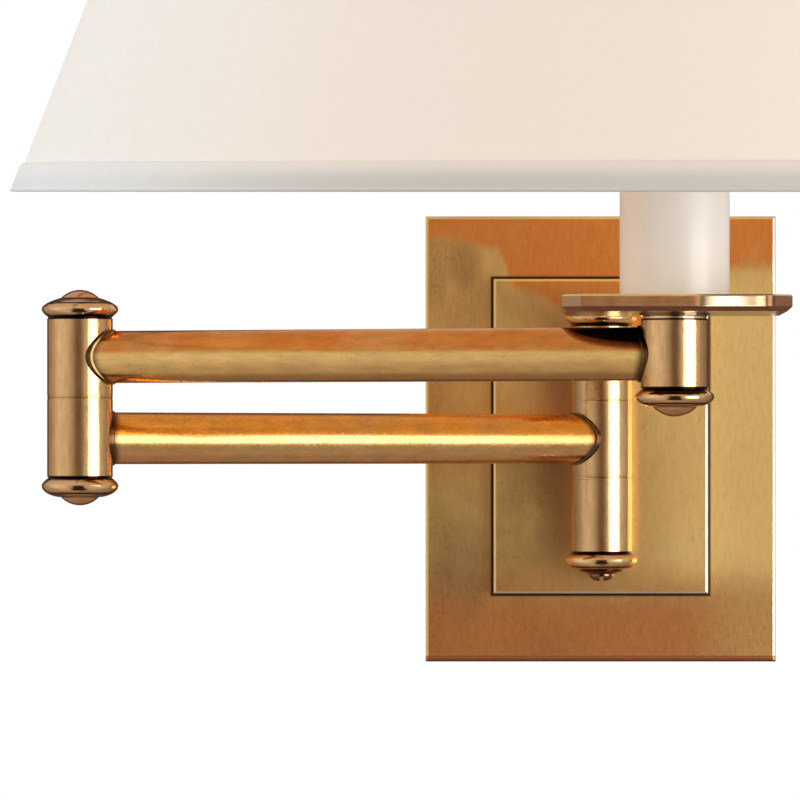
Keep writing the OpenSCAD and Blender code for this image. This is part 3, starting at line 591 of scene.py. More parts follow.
def under_plate_reflection(tree, flat):
    """The painted reflection of the drip plate's dark underside, on top of the upper arm. Its
    edge is an ellipse: one axis runs along the arm and the other down the tube's round side."""
    along = math_node(tree, "DIVIDE", far_from(tree, flat, AXES["shade_turn"]), SHADED_LENGTH)
    tilt = facing(tree, 2)
    round_side = times(tree, minus(tree, 1.0, tilt), 1.5)
    squares = [math_node(tree, "POWER", value, 2.0) for value in (along, round_side)]
    patch = spread(tree, plus(tree, *squares), 1.02, 0.90, 0.0, 0.97)
    return times(tree, patch, spread(tree, tilt, 0.985, 0.945))


def build_creases_and_reflection():
    """Masks of the dark creases, at the necks and ledges of the caps and the ends of the arms, and of the
    painted reflection under the drip plate.
    """
    tree, given, out = open_group(
        "turned_creases_and_reflection", [("Place", "Vector", None)], [("Cap Crease", "Float"), ("Arm Crease And Reflection", "Float")]
    )
    flat = vector_node(tree, "MULTIPLY", given["Place"], (1.0, 1.0, 0.0))[0]
    nearest = 1.0
    for axis in AXES.values():
        nearest = math_node(tree, "MINIMUM", nearest, far_from(tree, flat, axis))
    wider = spread(tree, axis_value(tree, given["Place"], 1), *HOLDER_SIDE, 0.0, HOLDER_DOME_EXTRA)
    from_dome = apart(tree, minus(tree, nearest, wider), DOME_RADIUS)
    ledge = spread(tree, from_dome, *LEDGE_WIDTH, 0.0, 0.9)
    arm_end = spread(tree, nearest, *ARM_END, 0.0, 0.92)
    tree.links.new(largest(tree, band(tree, nearest, *NECK), ledge), out["Cap Crease"])
    tree.links.new(largest(tree, arm_end, under_plate_reflection(tree, flat)), out["Arm Crease And Reflection"])
    return tree


CREASES_AND_REFLECTION = build_creases_and_reflection()
print("group:", CREASES_AND_REFLECTION.name, "round", len(AXES), "axes")

# %% [markdown]
# The four polished finishes get dark creases and painted shade laid over their colour. The knuckles have a
# thin dark line where a cap meets them, a fainter hairline at each washer, and painted shade on the post's
# side toward the folded arm. The heights of those lines are read from the imported pieces, so they stay
# with them. The arms and the caps take their masks from the group.

# %% Dark creases and painted shade
END_LINE = (0.0007, 0.0004)
HAIRLINE_MARK = (0.00034, 0.00016, 0.0, 0.40)
SWIVEL_SEAM = (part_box("post_middle_knuckle")[1][2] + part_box("post_upper_knuckle")[0][2]) / 2
ELBOW_SIDE = (-0.10, -0.12)
ARM_SHADOW = (-0.40, -0.72, 0.0, 0.42)
UNDER_POST = (-0.0420, -0.0424, 0.0, 0.80)


def darken(material, mask_of):
    """Lays dark creases and painted shade over a finished material. mask_of gets the tree and the place, and
    gives the mask.
    """
    tree = material.node_tree
    surface = next(node for node in tree.nodes if node.type == "BSDF_PRINCIPLED")
    place = next(node for node in tree.nodes if node.type == "TEX_COORD").outputs["Object"]
    tone = surface.inputs["Base Color"].links[0].from_socket
    feed(surface, {"Base Color": mix_colour(tree, mask_of(tree, place), tone, CREASE_AND_SHADE)})
    return material


def knuckle_lines(tree, place):
    """Dark lines at the knuckles' ends and seams, each at its own swivel, and painted shade on the post's
    side toward the folded arm.
    """
    height = axis_value(tree, place, 2)
    at_elbow = spread(tree, axis_value(tree, place, 0), *ELBOW_SIDE)
    at_holder = spread(tree, axis_value(tree, place, 1), *HOLDER_SIDE)
    at_post = minus(tree, 1.0, largest(tree, at_elbow, at_holder))
    lines = [(at_post, -SWIVEL_SEAM, HAIRLINE_MARK), (at_post, SWIVEL_SEAM, HAIRLINE_MARK)]
    lines.append((at_elbow, SWIVEL_SEAM, HAIRLINE_MARK))
    for where, lowest, highest in (
        (at_post, "post_lower_knuckle", "post_upper_knuckle"),
        (at_elbow, "elbow_lower_knuckle", "elbow_upper_knuckle"),
        (at_holder, "holder_knuckle", "holder_knuckle"),
    ):
        lines += [(where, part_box(lowest)[0][2], END_LINE), (where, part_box(highest)[1][2], END_LINE)]
    mask = times(tree, spread(tree, facing(tree, 0), *ARM_SHADOW), at_post)
    for where, level, look in lines:
        line = times(tree, spread(tree, apart(tree, height, level), *look), where)
        mask = largest(tree, mask, line)
    return mask


def cap_creases(tree, place):
    """Creases round every cap, and the dark step and screw under the post, the lowest pieces of all."""
    foot = spread(tree, axis_value(tree, place, 2), *UNDER_POST)
    return largest(tree, use_group(tree, CREASES_AND_REFLECTION, {"Place": place})["Cap Crease"], foot)


def arm_creases_and_reflection(tree, place):
    return use_group(tree, CREASES_AND_REFLECTION, {"Place": place})["Arm Crease And Reflection"]


UPRIGHTS = ["post_upper_stem", "post_lower_stem", "post_upper_knuckle", "post_lower_knuckle"]
UPRIGHTS += ["post_middle_knuckle", "elbow_lower_knuckle", "elbow_upper_knuckle", "holder_knuckle"]
CAPS = ["post_top_cap", "post_bottom_cap", "post_screw", "elbow_bottom_cap", "elbow_top_cap"]
CAPS += ["holder_bottom_cap", "holder_collar", "finial"]
dress(["upper_arm_tube"], darken(upper_arm_brass, arm_creases_and_reflection))
dress(["lower_arm_tube"], darken(lower_arm_brass, arm_creases_and_reflection))
dress(UPRIGHTS, darken(knuckle_brass, knuckle_lines))
dress(CAPS, darken(cap_brass, cap_creases))
print("polished pieces:", 2 + len(UPRIGHTS) + len(CAPS), "seams at", round(SWIVEL_SEAM, 6), "m")

# %% [markdown]
# The drip plate is a square of flat brass with clipped corners, and it would mirror one even tone. On
# the real lamp its front edge was buffed on a wheel, which leaves a slight crown that catches a light
# at the right. The crown could be cut into the mesh, but then the edge would leave its imported shape. A
# bump that falls away to the right turns only the way the surface shines. The bands of colour along the
# front and on its clipped corners are painted reflections that a simple studio doesn't have, as shares
# of the plate's width. Bright lines along the top and the lower front edge are painted highlights, and
# the underside is painted shade, darkest round the knuckle.

# %% Drip plate brass
BUFFED = ((1.0, 0.56, 0.26, 1), (0.94, 0.47, 0.21, 1))
FRONT_STREAKS = (260.0, 260.0, 60.0)
DRIP_GRAIN = (60.0, 200.0, 500.0)
RIM_HIGHLIGHT = (1.0, 0.78, 0.40, 1)
UNDERSIDE_SHADE = (0.33, 0.13, 0.085, 1)
KNUCKLE_SHADE = (0.05, 0.025, 0.015, 1)
FRONT_REFLECTIONS = [
    ((0.585, 0.605), (0.87, 0.83), (0.19, 0.135, 0.07, 1)),
    ((0.61, 0.70), (0.82, 0.74), (0.36, 0.33, 0.26, 1)),
    ((0.877, 0.883), (0.893, 0.887), (0.30, 0.14, 0.07, 1)),
]
CORNER_REFLECTIONS = [
    ((0.893, 0.899), (1.0, 0.72, 0.38, 1)),
    ((0.906, 0.912), (0.34, 0.155, 0.075, 1)),
    ((0.090, 0.084), (0.46, 0.26, 0.14, 1)),
]
CROWN = (0.555, 0.93)
CROWN_FALL = 0.115
FRONT_DEPTH = (0.0004, 0.0001)
TOP_RIM = (0.0006, 0.0003)
LOWER_RIM = (0.0016, 0.0013)
RIM_HIGH = 0.0007
RIM_FALL = 0.0002
KNUCKLE_SHADE_REACH = (0.034, 0.020)


def front_tones(tree, place, across):
    """The buffed front: two warm tones in streaks, with the painted reflections of the bands and the corners
    over them.
    """
    streaks = noise(tree, stretched(tree, place, FRONT_STREAKS), 1.0, 3.0)
    tone = mix_colour(tree, spread(tree, streaks, 0.40, 0.62), *BUFFED)
    for rise, fall, colour in FRONT_REFLECTIONS:
        tone = mix_colour(tree, band(tree, across, rise, fall), tone, colour)
    for step, colour in CORNER_REFLECTIONS:
        tone = mix_colour(tree, spread(tree, across, *step), tone, colour)
    return tone


def drip_plate_brass():
    material, tree, surface, place = new_material("drip_plate_brass")
    (low_x, low_y, low_z), (high_x, high_y, high_z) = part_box("drip_plate")
    width = high_x - low_x
    across = math_node(tree, "DIVIDE", minus(tree, axis_value(tree, place, 0), low_x), width)
    on_front = spread(tree, minus(tree, axis_value(tree, place, 1), low_y), *FRONT_DEPTH)
    height = axis_value(tree, place, 2)
    down = facing(tree, 2)
    brushing = use_group(tree, BRUSHING, {"Place": place, "Scale": DRIP_GRAIN, "Depth": 0.03})
    # Painted highlights: bright lines along the top and the lower front edge.
    rim = spread(tree, minus(tree, high_z, height), *TOP_RIM)
    lower_rim = times(tree, spread(tree, minus(tree, height, low_z), *LOWER_RIM), on_front)
    tone = mix_colour(tree, largest(tree, rim, lower_rim), front_tones(tree, place, across), RIM_HIGHLIGHT)
    # Painted shade on the downward faces.
    tone = mix_colour(tree, spread(tree, down, -0.3, -0.5), tone, UNDERSIDE_SHADE)
    # Painted shade, darker still on the underside round the knuckle.
    centre = ((low_x + high_x) / 2, (low_y + high_y) / 2, low_z)
    near_knuckle = spread(tree, far_from(tree, place, centre), *KNUCKLE_SHADE_REACH)
    tone = mix_colour(tree, times(tree, near_knuckle, spread(tree, down, -0.7, -0.9)), tone, KNUCKLE_SHADE)
    crown_fall = spread(tree, across, *CROWN, 0.0, -CROWN_FALL * width)
    rim_fall = spread(tree, height, high_z - RIM_HIGH, high_z, 0.0, -RIM_FALL)
    fall = times(tree, plus(tree, crown_fall, rim_fall), on_front)
    crown = {"Strength": 1.0, "Distance": 1.0, "Height": fall, "Normal": brushing["Normal"]}
    normal = put(tree, "ShaderNodeBump", crown).outputs["Normal"]
    finish_metal(tree, surface, tone, brushing, 0.16, 0.26, 0.85, normal)
    return material


dress(["drip_plate"], drip_plate_brass())
print("drip plate bands:", len(FRONT_REFLECTIONS) + len(CORNER_REFLECTIONS))

# %% [markdown]
# Pieces that the lamp hides keep a duller turned brass, and the strip behind the plate is plain
# zinc-plated steel with a cloudy grey bloom. The earth screw is dyed green, as such screws are. They
# all share one short recipe, a light and a dark tone with the brushing group over them.

# %% Hidden metals
EVEN_GRAIN = (300.0, 300.0, 300.0)
BULB_GRAIN = (80.0, 80.0, 900.0)
WIRE_GRAIN = (60.0, 60.0, 500.0)


def plain_metal(name, light, dark, rough, grain):
    material, tree, surface, place = new_material(name)
    brushing = use_group(tree, BRUSHING, {"Place": place, "Scale": grain, "Depth": 0.12})
    tone = mix_colour(tree, spread(tree, noise(tree, place, 90.0, 4.0), 0.35, 0.7), light, dark)
    finish_metal(tree, surface, tone, brushing, rough * 0.8, rough * 1.25)
    return material


INNER = ["post_pin", "elbow_pin", "holder_nipple", "drip_plate_nut", "stem_nuts"]
INNER += ["socket_cap", "socket_shell", "socket_contact", "side_screws"]
STRIP = ["mounting_bar", "stem_washers"]
WIRES = ["harp_saddle", "socket_ring", "harp", "spider", "bottom_ring"]
HIDDEN = [
    (INNER, "inner_brass", (0.62, 0.42, 0.16, 1), (0.42, 0.26, 0.09, 1), 0.34, EVEN_GRAIN),
    (STRIP, "strip_steel", (0.62, 0.62, 0.60, 1), (0.46, 0.47, 0.47, 1), 0.42, EVEN_GRAIN),
    (["ground_screw"], "earth_green", (0.05, 0.28, 0.10, 1), (0.03, 0.18, 0.07, 1), 0.40, EVEN_GRAIN),
    (["bulb_base"], "bulb_cap_metal", (0.72, 0.72, 0.72, 1), (0.58, 0.58, 0.58, 1), 0.28, BULB_GRAIN),
    (WIRES, "wire_brass", (0.72, 0.50, 0.20, 1), (0.56, 0.37, 0.14, 1), 0.26, WIRE_GRAIN),
]
for names, *recipe in HIDDEN:
    dress(names, plain_metal(*recipe))
print("hidden metal pieces:", sum(len(names) for names, *recipe in HIDDEN))

# %% [markdown]
# The candle sleeve is a smooth off-white plastic tube made to look like wax. A little subsurface
# light softens its shading, and a shallow wavy bump keeps the highlight from looking printed. Its side
# toward the arm is painted darker and warmer as shade, by a mask of the way the surface faces, and its
# faint glow of its own is painted light.

# %% Candle sleeve
SLEEVE_TONES = ((0.95, 0.92, 0.89, 1), (0.92, 0.87, 0.82, 1))
SLEEVE_SHADE_TONE = (0.84, 0.62, 0.45, 1)


def sleeve_plastic():
    material, tree, surface, place = new_material("sleeve_plastic")
    wave = noise(tree, place, 60.0, 2.0)
    tone = mix_colour(tree, spread(tree, wave, 0.35, 0.7), *SLEEVE_TONES)
    arm_side_shade = spread(tree, facing(tree, 0), -0.1, -0.95, 0.0, 0.85)
    feed(
        surface,
        {
            "Base Color": mix_colour(tree, arm_side_shade, tone, SLEEVE_SHADE_TONE),
            "Normal": ridges(tree, wave, 0.08, 0.001),
            "Roughness": 0.38,
            "Subsurface Weight": 0.15,
            "Subsurface Radius": (0.004, 0.002, 0.001),
            "Coat Weight": 0.3,
            "Coat Roughness": 0.22,
            # The sleeve's faint glow of its own is painted light.
            "Emission Color": (1.0, 0.92, 0.84, 1),
            "Emission Strength": 0.13,
        },
    )
    return material


dress(["candle_sleeve"], sleeve_plastic())
print("candle sleeve:", nodes["candle_sleeve"].data.materials[0].name)

# %% [markdown]
# The lampholder inside the shade is black moulded plastic with a fine grain, and the bulb over it is
# frosted. Frosting could be real scattering in thin glass, but a milky surface with a little light of
# its own looks the same from outside and costs far less to render.

# %% Lampholder and bulb
BULB_LIGHT = (1.0, 0.80, 0.58, 1)


def socket_plastic():
    material, tree, surface, place = new_material("socket_plastic")
    grain = noise(tree, place, 700.0, 3.0)
    tone = mix_colour(tree, grain, (0.012, 0.012, 0.012, 1), (0.035, 0.032, 0.03, 1))
    feed(surface, {"Base Color": tone, "Roughness": 0.35, "Normal": ridges(tree, grain, 0.15, 0.0003)})
    return material


def frosted_glass():
    material, tree, surface, place = new_material("frosted_glass")
    tone = mix_colour(tree, noise(tree, place, 40.0, 2.0), (0.93, 0.91, 0.86, 1), (0.88, 0.85, 0.79, 1))
    feed(surface, {"Base Color": tone, "Roughness": 0.35, "Coat Weight": 0.4, "Coat Roughness": 0.12})
    feed(surface, {"Subsurface Weight": 0.3, "Subsurface Radius": (0.02, 0.018, 0.015)})
    feed(surface, {"Emission Color": BULB_LIGHT, "Emission Strength": 0.6})
    return material


dress(["socket_body"], socket_plastic())
dress(["bulb_glass"], frosted_glass())
print("lampholder and bulb:", [nodes[name].data.materials[0].name for name in ("socket_body", "bulb_glass")])

# %% [markdown]
# Between two knuckles of a swivel sits a thin washer. On the real lamp it is turned down together with
# the knuckles, so the three faces are flush and only a hairline shows. A small lathe outline does
# the same here: the washer's edge spreads into the broken edges of the knuckles above and below it.
# Turned pieces come up again for the shade, so the lathe's last steps are two helpers.

# %% Flush washers
KNUCKLE_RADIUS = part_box("post_middle_knuckle")[1][0]
EDGE_BREAK = 0.00035
HAIRLINE = 0.00004
WASHER_HALF = 0.00033
WASHER_BORE = 0.0070
WASHER_SIDES = 96


def bridge(turned, rings):
    """Joins each ring to the next and the last to the first. Gives each face with its two corners' places."""
    count = len(rings[0])
    made = []
    for here, there in zip(rings, rings[1:] + rings[:1]):
        for i in range(count):
            j = (i + 1) % count
            made.append((i, j, turned.faces.new((here[i], there[i], there[j], here[j]))))
    return made


def finish_piece(name, turned, body):
    """Makes an object of a finished mesh and lets it ride a body."""
    bmesh.ops.recalc_face_normals(turned, faces=turned.faces)
    mesh = bpy.data.meshes.new(name)
    turned.to_mesh(mesh)
    turned.free()
    piece = bpy.data.objects.new(name, mesh)
    scene.collection.objects.link(piece)
    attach(piece, body)
    return piece


def flush_washer(name, node_name, body, heights):
    """Washers on one upright axis, each with an edge that fills the groove round it."""
    (low_x, low_y, low_z), (high_x, high_y, high_z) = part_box(node_name)
    centre = Vector(((low_x + high_x) / 2, (low_y + high_y) / 2, 0.0))
    foot = KNUCKLE_RADIUS - EDGE_BREAK - HAIRLINE
    rim = KNUCKLE_RADIUS - HAIRLINE
    lip = WASHER_HALF + EDGE_BREAK - HAIRLINE
    lower_half = [(WASHER_BORE, -WASHER_HALF), (foot, -WASHER_HALF), (rim - HAIRLINE, -lip)]
    upper_half = [(radius, -height) for radius, height in reversed(lower_half)]
    section = lower_half + [(rim, 0.0)] + upper_half
    turned = bmesh.new()
    for height in heights:
        rings = []
        for i in range(WASHER_SIDES):
            a = 2 * math.pi * i / WASHER_SIDES
            spots = [centre + Vector((r * math.cos(a), r * math.sin(a), height + z)) for r, z in section]
            rings.append([turned.verts.new(spot) for spot in spots])
        bridge(turned, rings)
    piece = finish_piece(name, turned, body)
    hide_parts(node_name)
    piece.data.materials.append(knuckle_brass)
    return piece


flush_washer("post_flush_washers", "post_washers", "wall_base", [-SWIVEL_SEAM, SWIVEL_SEAM])
flush_washer("elbow_flush_washer", "elbow_washer", "lower_arm", [SWIVEL_SEAM])
print("washers turned flush with knuckles of", round(KNUCKLE_RADIUS, 4), "m radius")

# %% [markdown]
# The shade is a hard one: fabric glued to a thin white plastic liner, rolled into a cone and closed by
# a lapped seam at the back. A lathe fits it well, because one outline turned round an axis makes the
# whole skin with its thickness, and the seam is only a small step added to the radius at some angles.
# The cone leans with the harp, so every ring is made upright and then tilted about the joint.

# %% Shade lathe
RIM_RADIUS = 0.194
TOP_RADIUS = 0.1006
RIM_HEIGHT = 0.0727
SHADE_HEIGHT = 0.240
LAP_WIDTH = 0.012
LAP_STEP = 0.0005
LAP_ANGLE = math.pi / 2
LAP_EDGE = 0.0004
PIVOT = Vector(joints["shade_turn"]["pos_m"])
SHADE_AXIS = Vector(joints["shade_turn"]["axis"])
TILT = Vector((0, 0, 1)).rotation_difference(SHADE_AXIS).to_matrix().to_4x4()
LEAN = Matrix.Translation(PIVOT) @ TILT @ Matrix.Translation(-PIVOT)


def skin_radius(height):
    return RIM_RADIUS + (TOP_RADIUS - RIM_RADIUS) * height / SHADE_HEIGHT


def lap_lift(angle):
    """Extra radius of the lapped edge, which steps up at the seam and dies away behind it."""
    along = ((angle - LAP_ANGLE + math.pi) % (2 * math.pi) - math.pi) * RIM_RADIUS
    if along < 0:
        return 0.0
    return LAP_STEP * max(0.0, 1.0 - max(0.0, along - LAP_WIDTH) / (2 * LAP_WIDTH))


def lathe_angles(count=256):
    """Even angles, and one more just before the lap, so that its step is sharp."""
    even = [2 * math.pi * i / count for i in range(count)]
    return sorted(even + [LAP_ANGLE - LAP_EDGE / RIM_RADIUS])


def turned_piece(name, outline, lift=None):
    """Turns a closed outline of (radius, height, side) round the candle axis; side picks the material."""
    turned = bmesh.new()
    rings = []
    for angle in lathe_angles():
        ring = []
        for radius, height, side in outline:
            r = radius + (lift(angle) if lift and side == 0 else 0.0)
            x, y = PIVOT.x + r * math.cos(angle), PIVOT.y + r * math.sin(angle)
            ring.append(turned.verts.new(LEAN @ Vector((x, y, RIM_HEIGHT + height))))
        rings.append(ring)
    for i, j, face in bridge(turned, rings):
        face.material_index = max(outline[i][2], outline[j][2])
        face.smooth = True
    return finish_piece(name, turned, "shade")


print("shade axis leans", round(math.degrees(SHADE_AXIS.angle(Vector((0, 0, 1)))), 2), "degrees")

# %% [markdown]
# The cover's outline goes up the outside of the cloth and comes down the inside of the liner, so the
# skin is a closed shape with a real thickness. The outside gets the cloth and everything else the
# liner, which is why each point of the outline carries its side.

# %% Shade cover
SKIN = 0.0012


def cover_outline(steps=24):
    heights = [SHADE_HEIGHT * i / steps for i in range(steps + 1)]
    outside = [(skin_radius(h), h, 0) for h in heights]
    inside = [(skin_radius(h) - SKIN, h, 1) for h in reversed(heights)]
    return outside + inside


shade_cover = turned_piece("shade_cover", cover_outline(), lap_lift)
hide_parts("shade_skin")
print("shade cover faces:", len(shade_cover.data.polygons))

# %% [markdown]
# Both rims are bound with a folded strip of the same fabric. It is wrapped round the frame's wire
# inside, so its section is a hook: a flat band outside, a soft fold under the rim and a bead inside.
# A shallow groove just above the fold is where the strip was creased and pressed.

# %% Rim bindings
FOLD_HEIGHT = 0.008
FOLD = 0.0011
WIRE = 0.0032
WIRE_IN = SKIN + WIRE / 2 + 0.00025
BEAD = WIRE / 2 + 0.0004


def hook_outline(at_rim):
    """Section of a binding. Heights run into the shade from its rim or from its top."""
    points = [(0.0, FOLD_HEIGHT), (0.0007, FOLD_HEIGHT + 0.0001), (FOLD, FOLD_HEIGHT - 0.0005)]
    points += [(FOLD, 0.0048), (FOLD, 0.0016), (FOLD - 0.00025, 0.0012), (FOLD, 0.0008)]
    points += [(FOLD + 0.0001, 0.0001), (0.0006, -0.0001), (-0.0006, -0.0002), (-0.0016, 0.0001)]
    for turn in range(-60, 181, 30):
        a = math.radians(turn)
        points.append((-WIRE_IN - BEAD * math.sin(a), WIRE - BEAD * math.cos(a)))
    points += [(-SKIN - 0.0001, 0.0062), (-SKIN, 0.0050), (-SKIN, 0.0), (0.0, 0.0)]
    outline = []
    for out, into in points:
        height = into if at_rim else SHADE_HEIGHT - into
        outline.append((skin_radius(height) + out, height, 0))
    return outline


rim_binding = turned_piece("rim_binding", hook_outline(True))
top_binding = turned_piece("top_binding", hook_outline(False))
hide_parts("bottom_trim")
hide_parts("top_trim")
print("bindings:", rim_binding.name, top_binding.name)

# %% [markdown]
# The cloth is a plain weave with thicker threads here and there. A little of the bulb's light comes
# through it all round, strongest at the bulb's height, so the shade looks warm even in a white room.
# The side that faces the room gets painted warm light, and the sides nearer the wall do not. The liner's
# faint glow is painted light too. The binding is double cloth, so it hardly glows and reads as a greyer
# band, and the rim binding has painted shade toward its lower edge.
# The threads run round the cone and up it, so the weave is worked out from the angle and the height
# round an upright line through the joint.

# %% Shade cloth
WARP = 1100.0
WEFT = 7150.0
SLUBS_A_METRE = 320.0
WARM_LIGHT = (1.0, 0.60, 0.30, 1)
BINDING_FOOT = (RIM_HEIGHT - PIVOT.z + 0.0072, RIM_HEIGHT - PIVOT.z + 0.0030)


def weave_height(tree, centred):
    angle = math_node(tree, "ARCTAN2", axis_value(tree, centred, 1), axis_value(tree, centred, 0))
    warp = math_node(tree, "SINE", times(tree, angle, WARP))
    weft = math_node(tree, "SINE", times(tree, axis_value(tree, centred, 2), WEFT))
    return times(tree, warp, weft)


def shade_cloth(name, light, shadow, warm_lit_tone, glow, foot=None):
    material, tree, surface, place = new_material(name)
    centred = vector_node(tree, "SUBTRACT", place, PIVOT)[0]
    slub = noise(tree, place, SLUBS_A_METRE, 4.0)
    flat = vector_node(tree, "MULTIPLY", centred, (1.0, 1.0, 0.0))[0]
    outward = vector_node(tree, "NORMALIZE", flat)[0]
    room_side = spread(tree, times(tree, axis_value(tree, outward, 1), -1.0), 0.48, 1.03)
    above = vector_node(tree, "DOT_PRODUCT", centred, SHADE_AXIS)["Value"]
    tone = mix_colour(tree, spread(tree, slub, 0.3, 0.75), light, shadow)
    # Painted light: the side that faces the room is warmer.
    tone = mix_colour(tree, room_side, tone, warm_lit_tone)
    # Painted shade: the rim binding is darker toward its lower edge, most on the room side.
    if foot:
        toward_room = spread(tree, room_side, 0.0, 1.0, 0.25, 1.0)
        low_down = times(tree, spread(tree, above, *BINDING_FOOT), toward_room)
        tone = mix_colour(tree, low_down, tone, foot, "MULTIPLY")
    threads = ridges(tree, plus(tree, times(tree, weave_height(tree, centred), 0.5), slub), 0.06, 0.0003)
    near_bulb = band(tree, above, (-0.20, 0.02), (0.26, 0.06))
    warm = mix_colour(tree, spread(tree, near_bulb, 0.0, 1.0, 0.75, 1.0), (0.0, 0.0, 0.0, 1), WARM_LIGHT)
    feed(surface, {"Base Color": tone, "Roughness": 0.85, "Sheen Weight": 0.08, "Normal": threads})
    feed(surface, {"Emission Color": warm, "Emission Strength": glow})
    return material


def shade_liner():
    material, tree, surface, place = new_material("shade_liner")
    cloud = spread(tree, noise(tree, place, 30.0, 3.0), 0.3, 0.7)
    tone = mix_colour(tree, cloud, (0.88, 0.86, 0.82, 1), (0.84, 0.81, 0.76, 1))
    feed(surface, {"Base Color": tone, "Roughness": 0.45})
    # The liner's faint glow is painted light.
    feed(surface, {"Emission Color": BULB_LIGHT, "Emission Strength": 0.12})
    return material


CLOTH_TONES = ((0.805, 0.82, 0.81, 1), (0.79, 0.80, 0.785, 1), (0.93, 0.862, 0.795, 1))
BINDING_TONES = ((0.80, 0.82, 0.83, 1), (0.78, 0.80, 0.81, 1), (0.89, 0.80, 0.72, 1))
cloth = shade_cloth("linen_cloth", *CLOTH_TONES, glow=0.12)
for material in (cloth, shade_liner()):
    shade_cover.data.materials.append(material)
binding_cloth = shade_cloth("binding_cloth", *BINDING_TONES, glow=0.05, foot=(0.76, 0.82, 0.84, 1))
for binding in (rim_binding, top_binding):
    binding.data.materials.append(binding_cloth)
print("shade materials:", cloth.name, binding_cloth.name)

# %% [markdown]
# Polished metal has no look of its own, only the room's. A white room makes brass flat, so this one
# changes with the direction: dark straight ahead, bright at both sides, and dark again toward the wall,
# which draws a thin dark contour on every round piece. The levels are given by the angle round the
# lamp in degrees, from 0 toward the camera, with the right positive. Dim levels are warmer than bright
# ones, as they are in a real room. A ceiling and a floor are mixed in by the height of the direction,
# and a dark patch low in front, as under a table, keeps the undersides of the caps dark.
# The camera itself sees a white background.

# %% Room
ROOM_LEVELS = [
    (-180, 0.26),
    (-114, 0.42),
    (-74, 0.88),
    (-40, 0.70),
    (-22, 0.46),
    (-9, 0.22),
    (1, 0.17),
    (12, 0.26),
    (20, 0.60),
    (84, 0.62),
    (114, 0.34),
    (180, 0.22),
]
CEILING = (0.62, 0.61, 0.60, 1)
CEILING_UP = (0.15, 0.7)
FLOOR_GLOW = (0.34, 0.25, 0.17, 1)
FLOOR_DOWN = (-0.1, -0.8)
UNDER_TABLE = (0.03, 0.02, 0.015, 1)
TABLE_DOWN = (-0.10, -0.24)
TABLE_FORWARD = (0.0, -0.14)
TABLE_SIDE = (0.36, 0.20)
DARK_WALL = (0.125, 0.070, 0.042, 1)
WALL_BACK = (0.70, 0.78)
WHITE = (1, 1, 1, 1)


def level_colour(level):
    warm = 0.34 * max(0.0, 1.0 - level / 0.6)
    return (level, level * (0.99 - warm), level * (0.97 - 1.6 * warm), 1)


def levels_round(tree, way):
    """The room's level at eye height, by the angle round the lamp."""
    turn = math_node(tree, "ARCTAN2", way[0], times(tree, way[1], -1.0))
    share = plus(tree, math_node(tree, "DIVIDE", turn, 2 * math.pi), 0.5)
    ramp = put(tree, "ShaderNodeValToRGB", {"Fac": share})
    stops = ramp.color_ramp.elements
    for azimuth, _ in ROOM_LEVELS[1:-1]:
        stops.new(azimuth / 360 + 0.5)
    for stop, (azimuth, level) in zip(stops, ROOM_LEVELS):
        stop.position = azimuth / 360 + 0.5
        stop.color = level_colour(level)
    return ramp.outputs["Color"]


def make_room():
    world = bpy.data.worlds.new("studio")
    scene.world = world
    world.use_nodes = True
    tree = world.node_tree
    tree.nodes.clear()
    direction = put(tree, "ShaderNodeTexCoord").outputs["Generated"]
    way = put(tree, "ShaderNodeSeparateXYZ", {0: direction}).outputs
    sides = levels_round(tree, way)
    room = mix_colour(tree, spread(tree, way[2], *CEILING_UP), sides, CEILING)
    glow = mix_colour(tree, 0.45, FLOOR_GLOW, sides)
    room = mix_colour(tree, spread(tree, way[2], *FLOOR_DOWN), room, glow)
    low = times(tree, spread(tree, way[2], *TABLE_DOWN), spread(tree, way[1], *TABLE_FORWARD))
    ahead = spread(tree, math_node(tree, "ABSOLUTE", way[0]), *TABLE_SIDE)
    room = mix_colour(tree, times(tree, low, ahead), room, UNDER_TABLE)
    room = mix_colour(tree, spread(tree, way[1], *WALL_BACK), room, DARK_WALL)
    lit = put(tree, "ShaderNodeBackground", {"Color": room, "Strength": 1.0})
    seen = put(tree, "ShaderNodeBackground", {"Color": WHITE, "Strength": 1.0})
    is_camera = tree.nodes.new("ShaderNodeLightPath").outputs["Is Camera Ray"]
    choose = put(tree, "ShaderNodeMixShader", {0: is_camera, 1: lit.outputs[0], 2: seen.outputs[0]})
    output = tree.nodes.new("ShaderNodeOutputWorld")
    tree.links.new(choose.outputs[0], output.inputs["Surface"])
    return world


print("room:", make_room().name, "levels:", len(ROOM_LEVELS))

# %% [markdown]
# A round floor far below takes the lamp's soft shadow and sends a little light back up. Its edge could
# be hidden by making it huge, but a floor that fades to the background's white does it at any size.
# Mirrors skip it, because the room already holds a floor for them.

# %% Floor
FLOOR_RADIUS = 1.1
FLOOR_PLACE = (0.0, -0.2, -1.1)


def floor_paint():
    material, tree, surface, place = new_material("floor_paint")
    is_camera = tree.nodes.new("ShaderNodeLightPath").outputs["Is Camera Ray"]
    paint = mix_colour(tree, is_camera, (0.50, 0.50, 0.50, 1), (0.92, 0.92, 0.92, 1))
    feed(surface, {"Base Color": paint, "Roughness": 0.9})
    outward = vector_node(tree, "LENGTH", place)["Value"]
    fade = times(tree, is_camera, spread(tree, outward, 0.45 * FLOOR_RADIUS, 0.97 * FLOOR_RADIUS))
    white = put(tree, "ShaderNodeEmission", {"Color": WHITE, "Strength": 1.0})
    choose = put(tree, "ShaderNodeMixShader", {0: fade, 1: surface.outputs[0], 2: white.outputs[0]})
    output = next(node for node in tree.nodes if node.type == "OUTPUT_MATERIAL")
    tree.links.new(choose.outputs[0], output.inputs["Surface"])
    return material


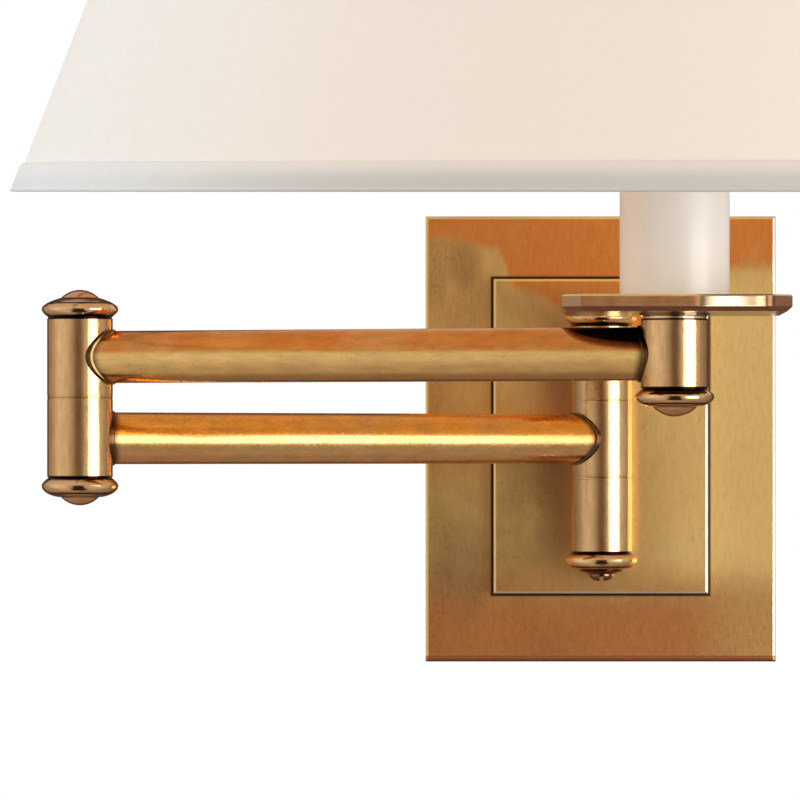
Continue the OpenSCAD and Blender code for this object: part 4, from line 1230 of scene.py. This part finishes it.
def make_floor():
    mesh = bpy.data.meshes.new("floor")
    disc = bmesh.new()
    bmesh.ops.create_circle(disc, cap_ends=True, segments=96, radius=FLOOR_RADIUS)
    disc.to_mesh(mesh)
    disc.free()
    mesh.materials.append(floor_paint())
    floor = bpy.data.objects.new("floor", mesh)
    floor.location = FLOOR_PLACE
    floor.visible_glossy = False
    scene.collection.objects.link(floor)
    return floor


print("floor:", make_floor().name)

# %% [markdown]
# One softbox that only shines in mirrors draws the bright upright bands on the round pieces, and four
# wide fills light the cloth and the candle but stay out of the mirrors. Keeping the two apart lets the
# bands be placed without changing how bright the shade is. Each one is set by the angle at which it
# stands, its height above the lamp in degrees, its distance and its size, and aims at the lamp.

# %% Softboxes
AIM = Vector((-0.02, -0.10, 0.0))


def softbox(name, azimuth, elevation, distance, size, radiance, mirrored=True, lighting=True, tint=(1, 1, 1)):
    data = bpy.data.lights.new(name, "AREA")
    data.color = tint
    data.shape = "RECTANGLE"
    data.size, data.size_y = size
    data.energy = radiance * math.pi * size[0] * size[1]
    lamp = bpy.data.objects.new(name, data)
    a, e = math.radians(azimuth), math.radians(elevation)
    away = Vector((math.sin(a) * math.cos(e), -math.cos(a) * math.cos(e), math.sin(e)))
    lamp.location = AIM + away * distance
    lamp.rotation_mode = "QUATERNION"
    lamp.rotation_quaternion = (-away).to_track_quat("-Z", "Y")
    lamp.visible_glossy = mirrored
    lamp.visible_diffuse = lighting
    scene.collection.objects.link(lamp)


softbox("right_box", 50, -4, 1.5, (1.05, 0.80), 4.8, lighting=False)
softbox("front_fill", -10, 20, 2.6, (2.4, 2.0), 0.74, mirrored=False, tint=(1.0, 0.96, 0.91))
softbox("left_fill", -95, 10, 2.0, (1.8, 1.8), 1.7, mirrored=False, tint=(0.93, 0.98, 1.0))
softbox("back_fill", 180, 25, 2.4, (2.0, 1.6), 0.7, mirrored=False)
softbox("right_fill", 58, -8, 1.7, (1.2, 1.0), 2.6, mirrored=False)
scene.view_settings.view_transform = "Standard"
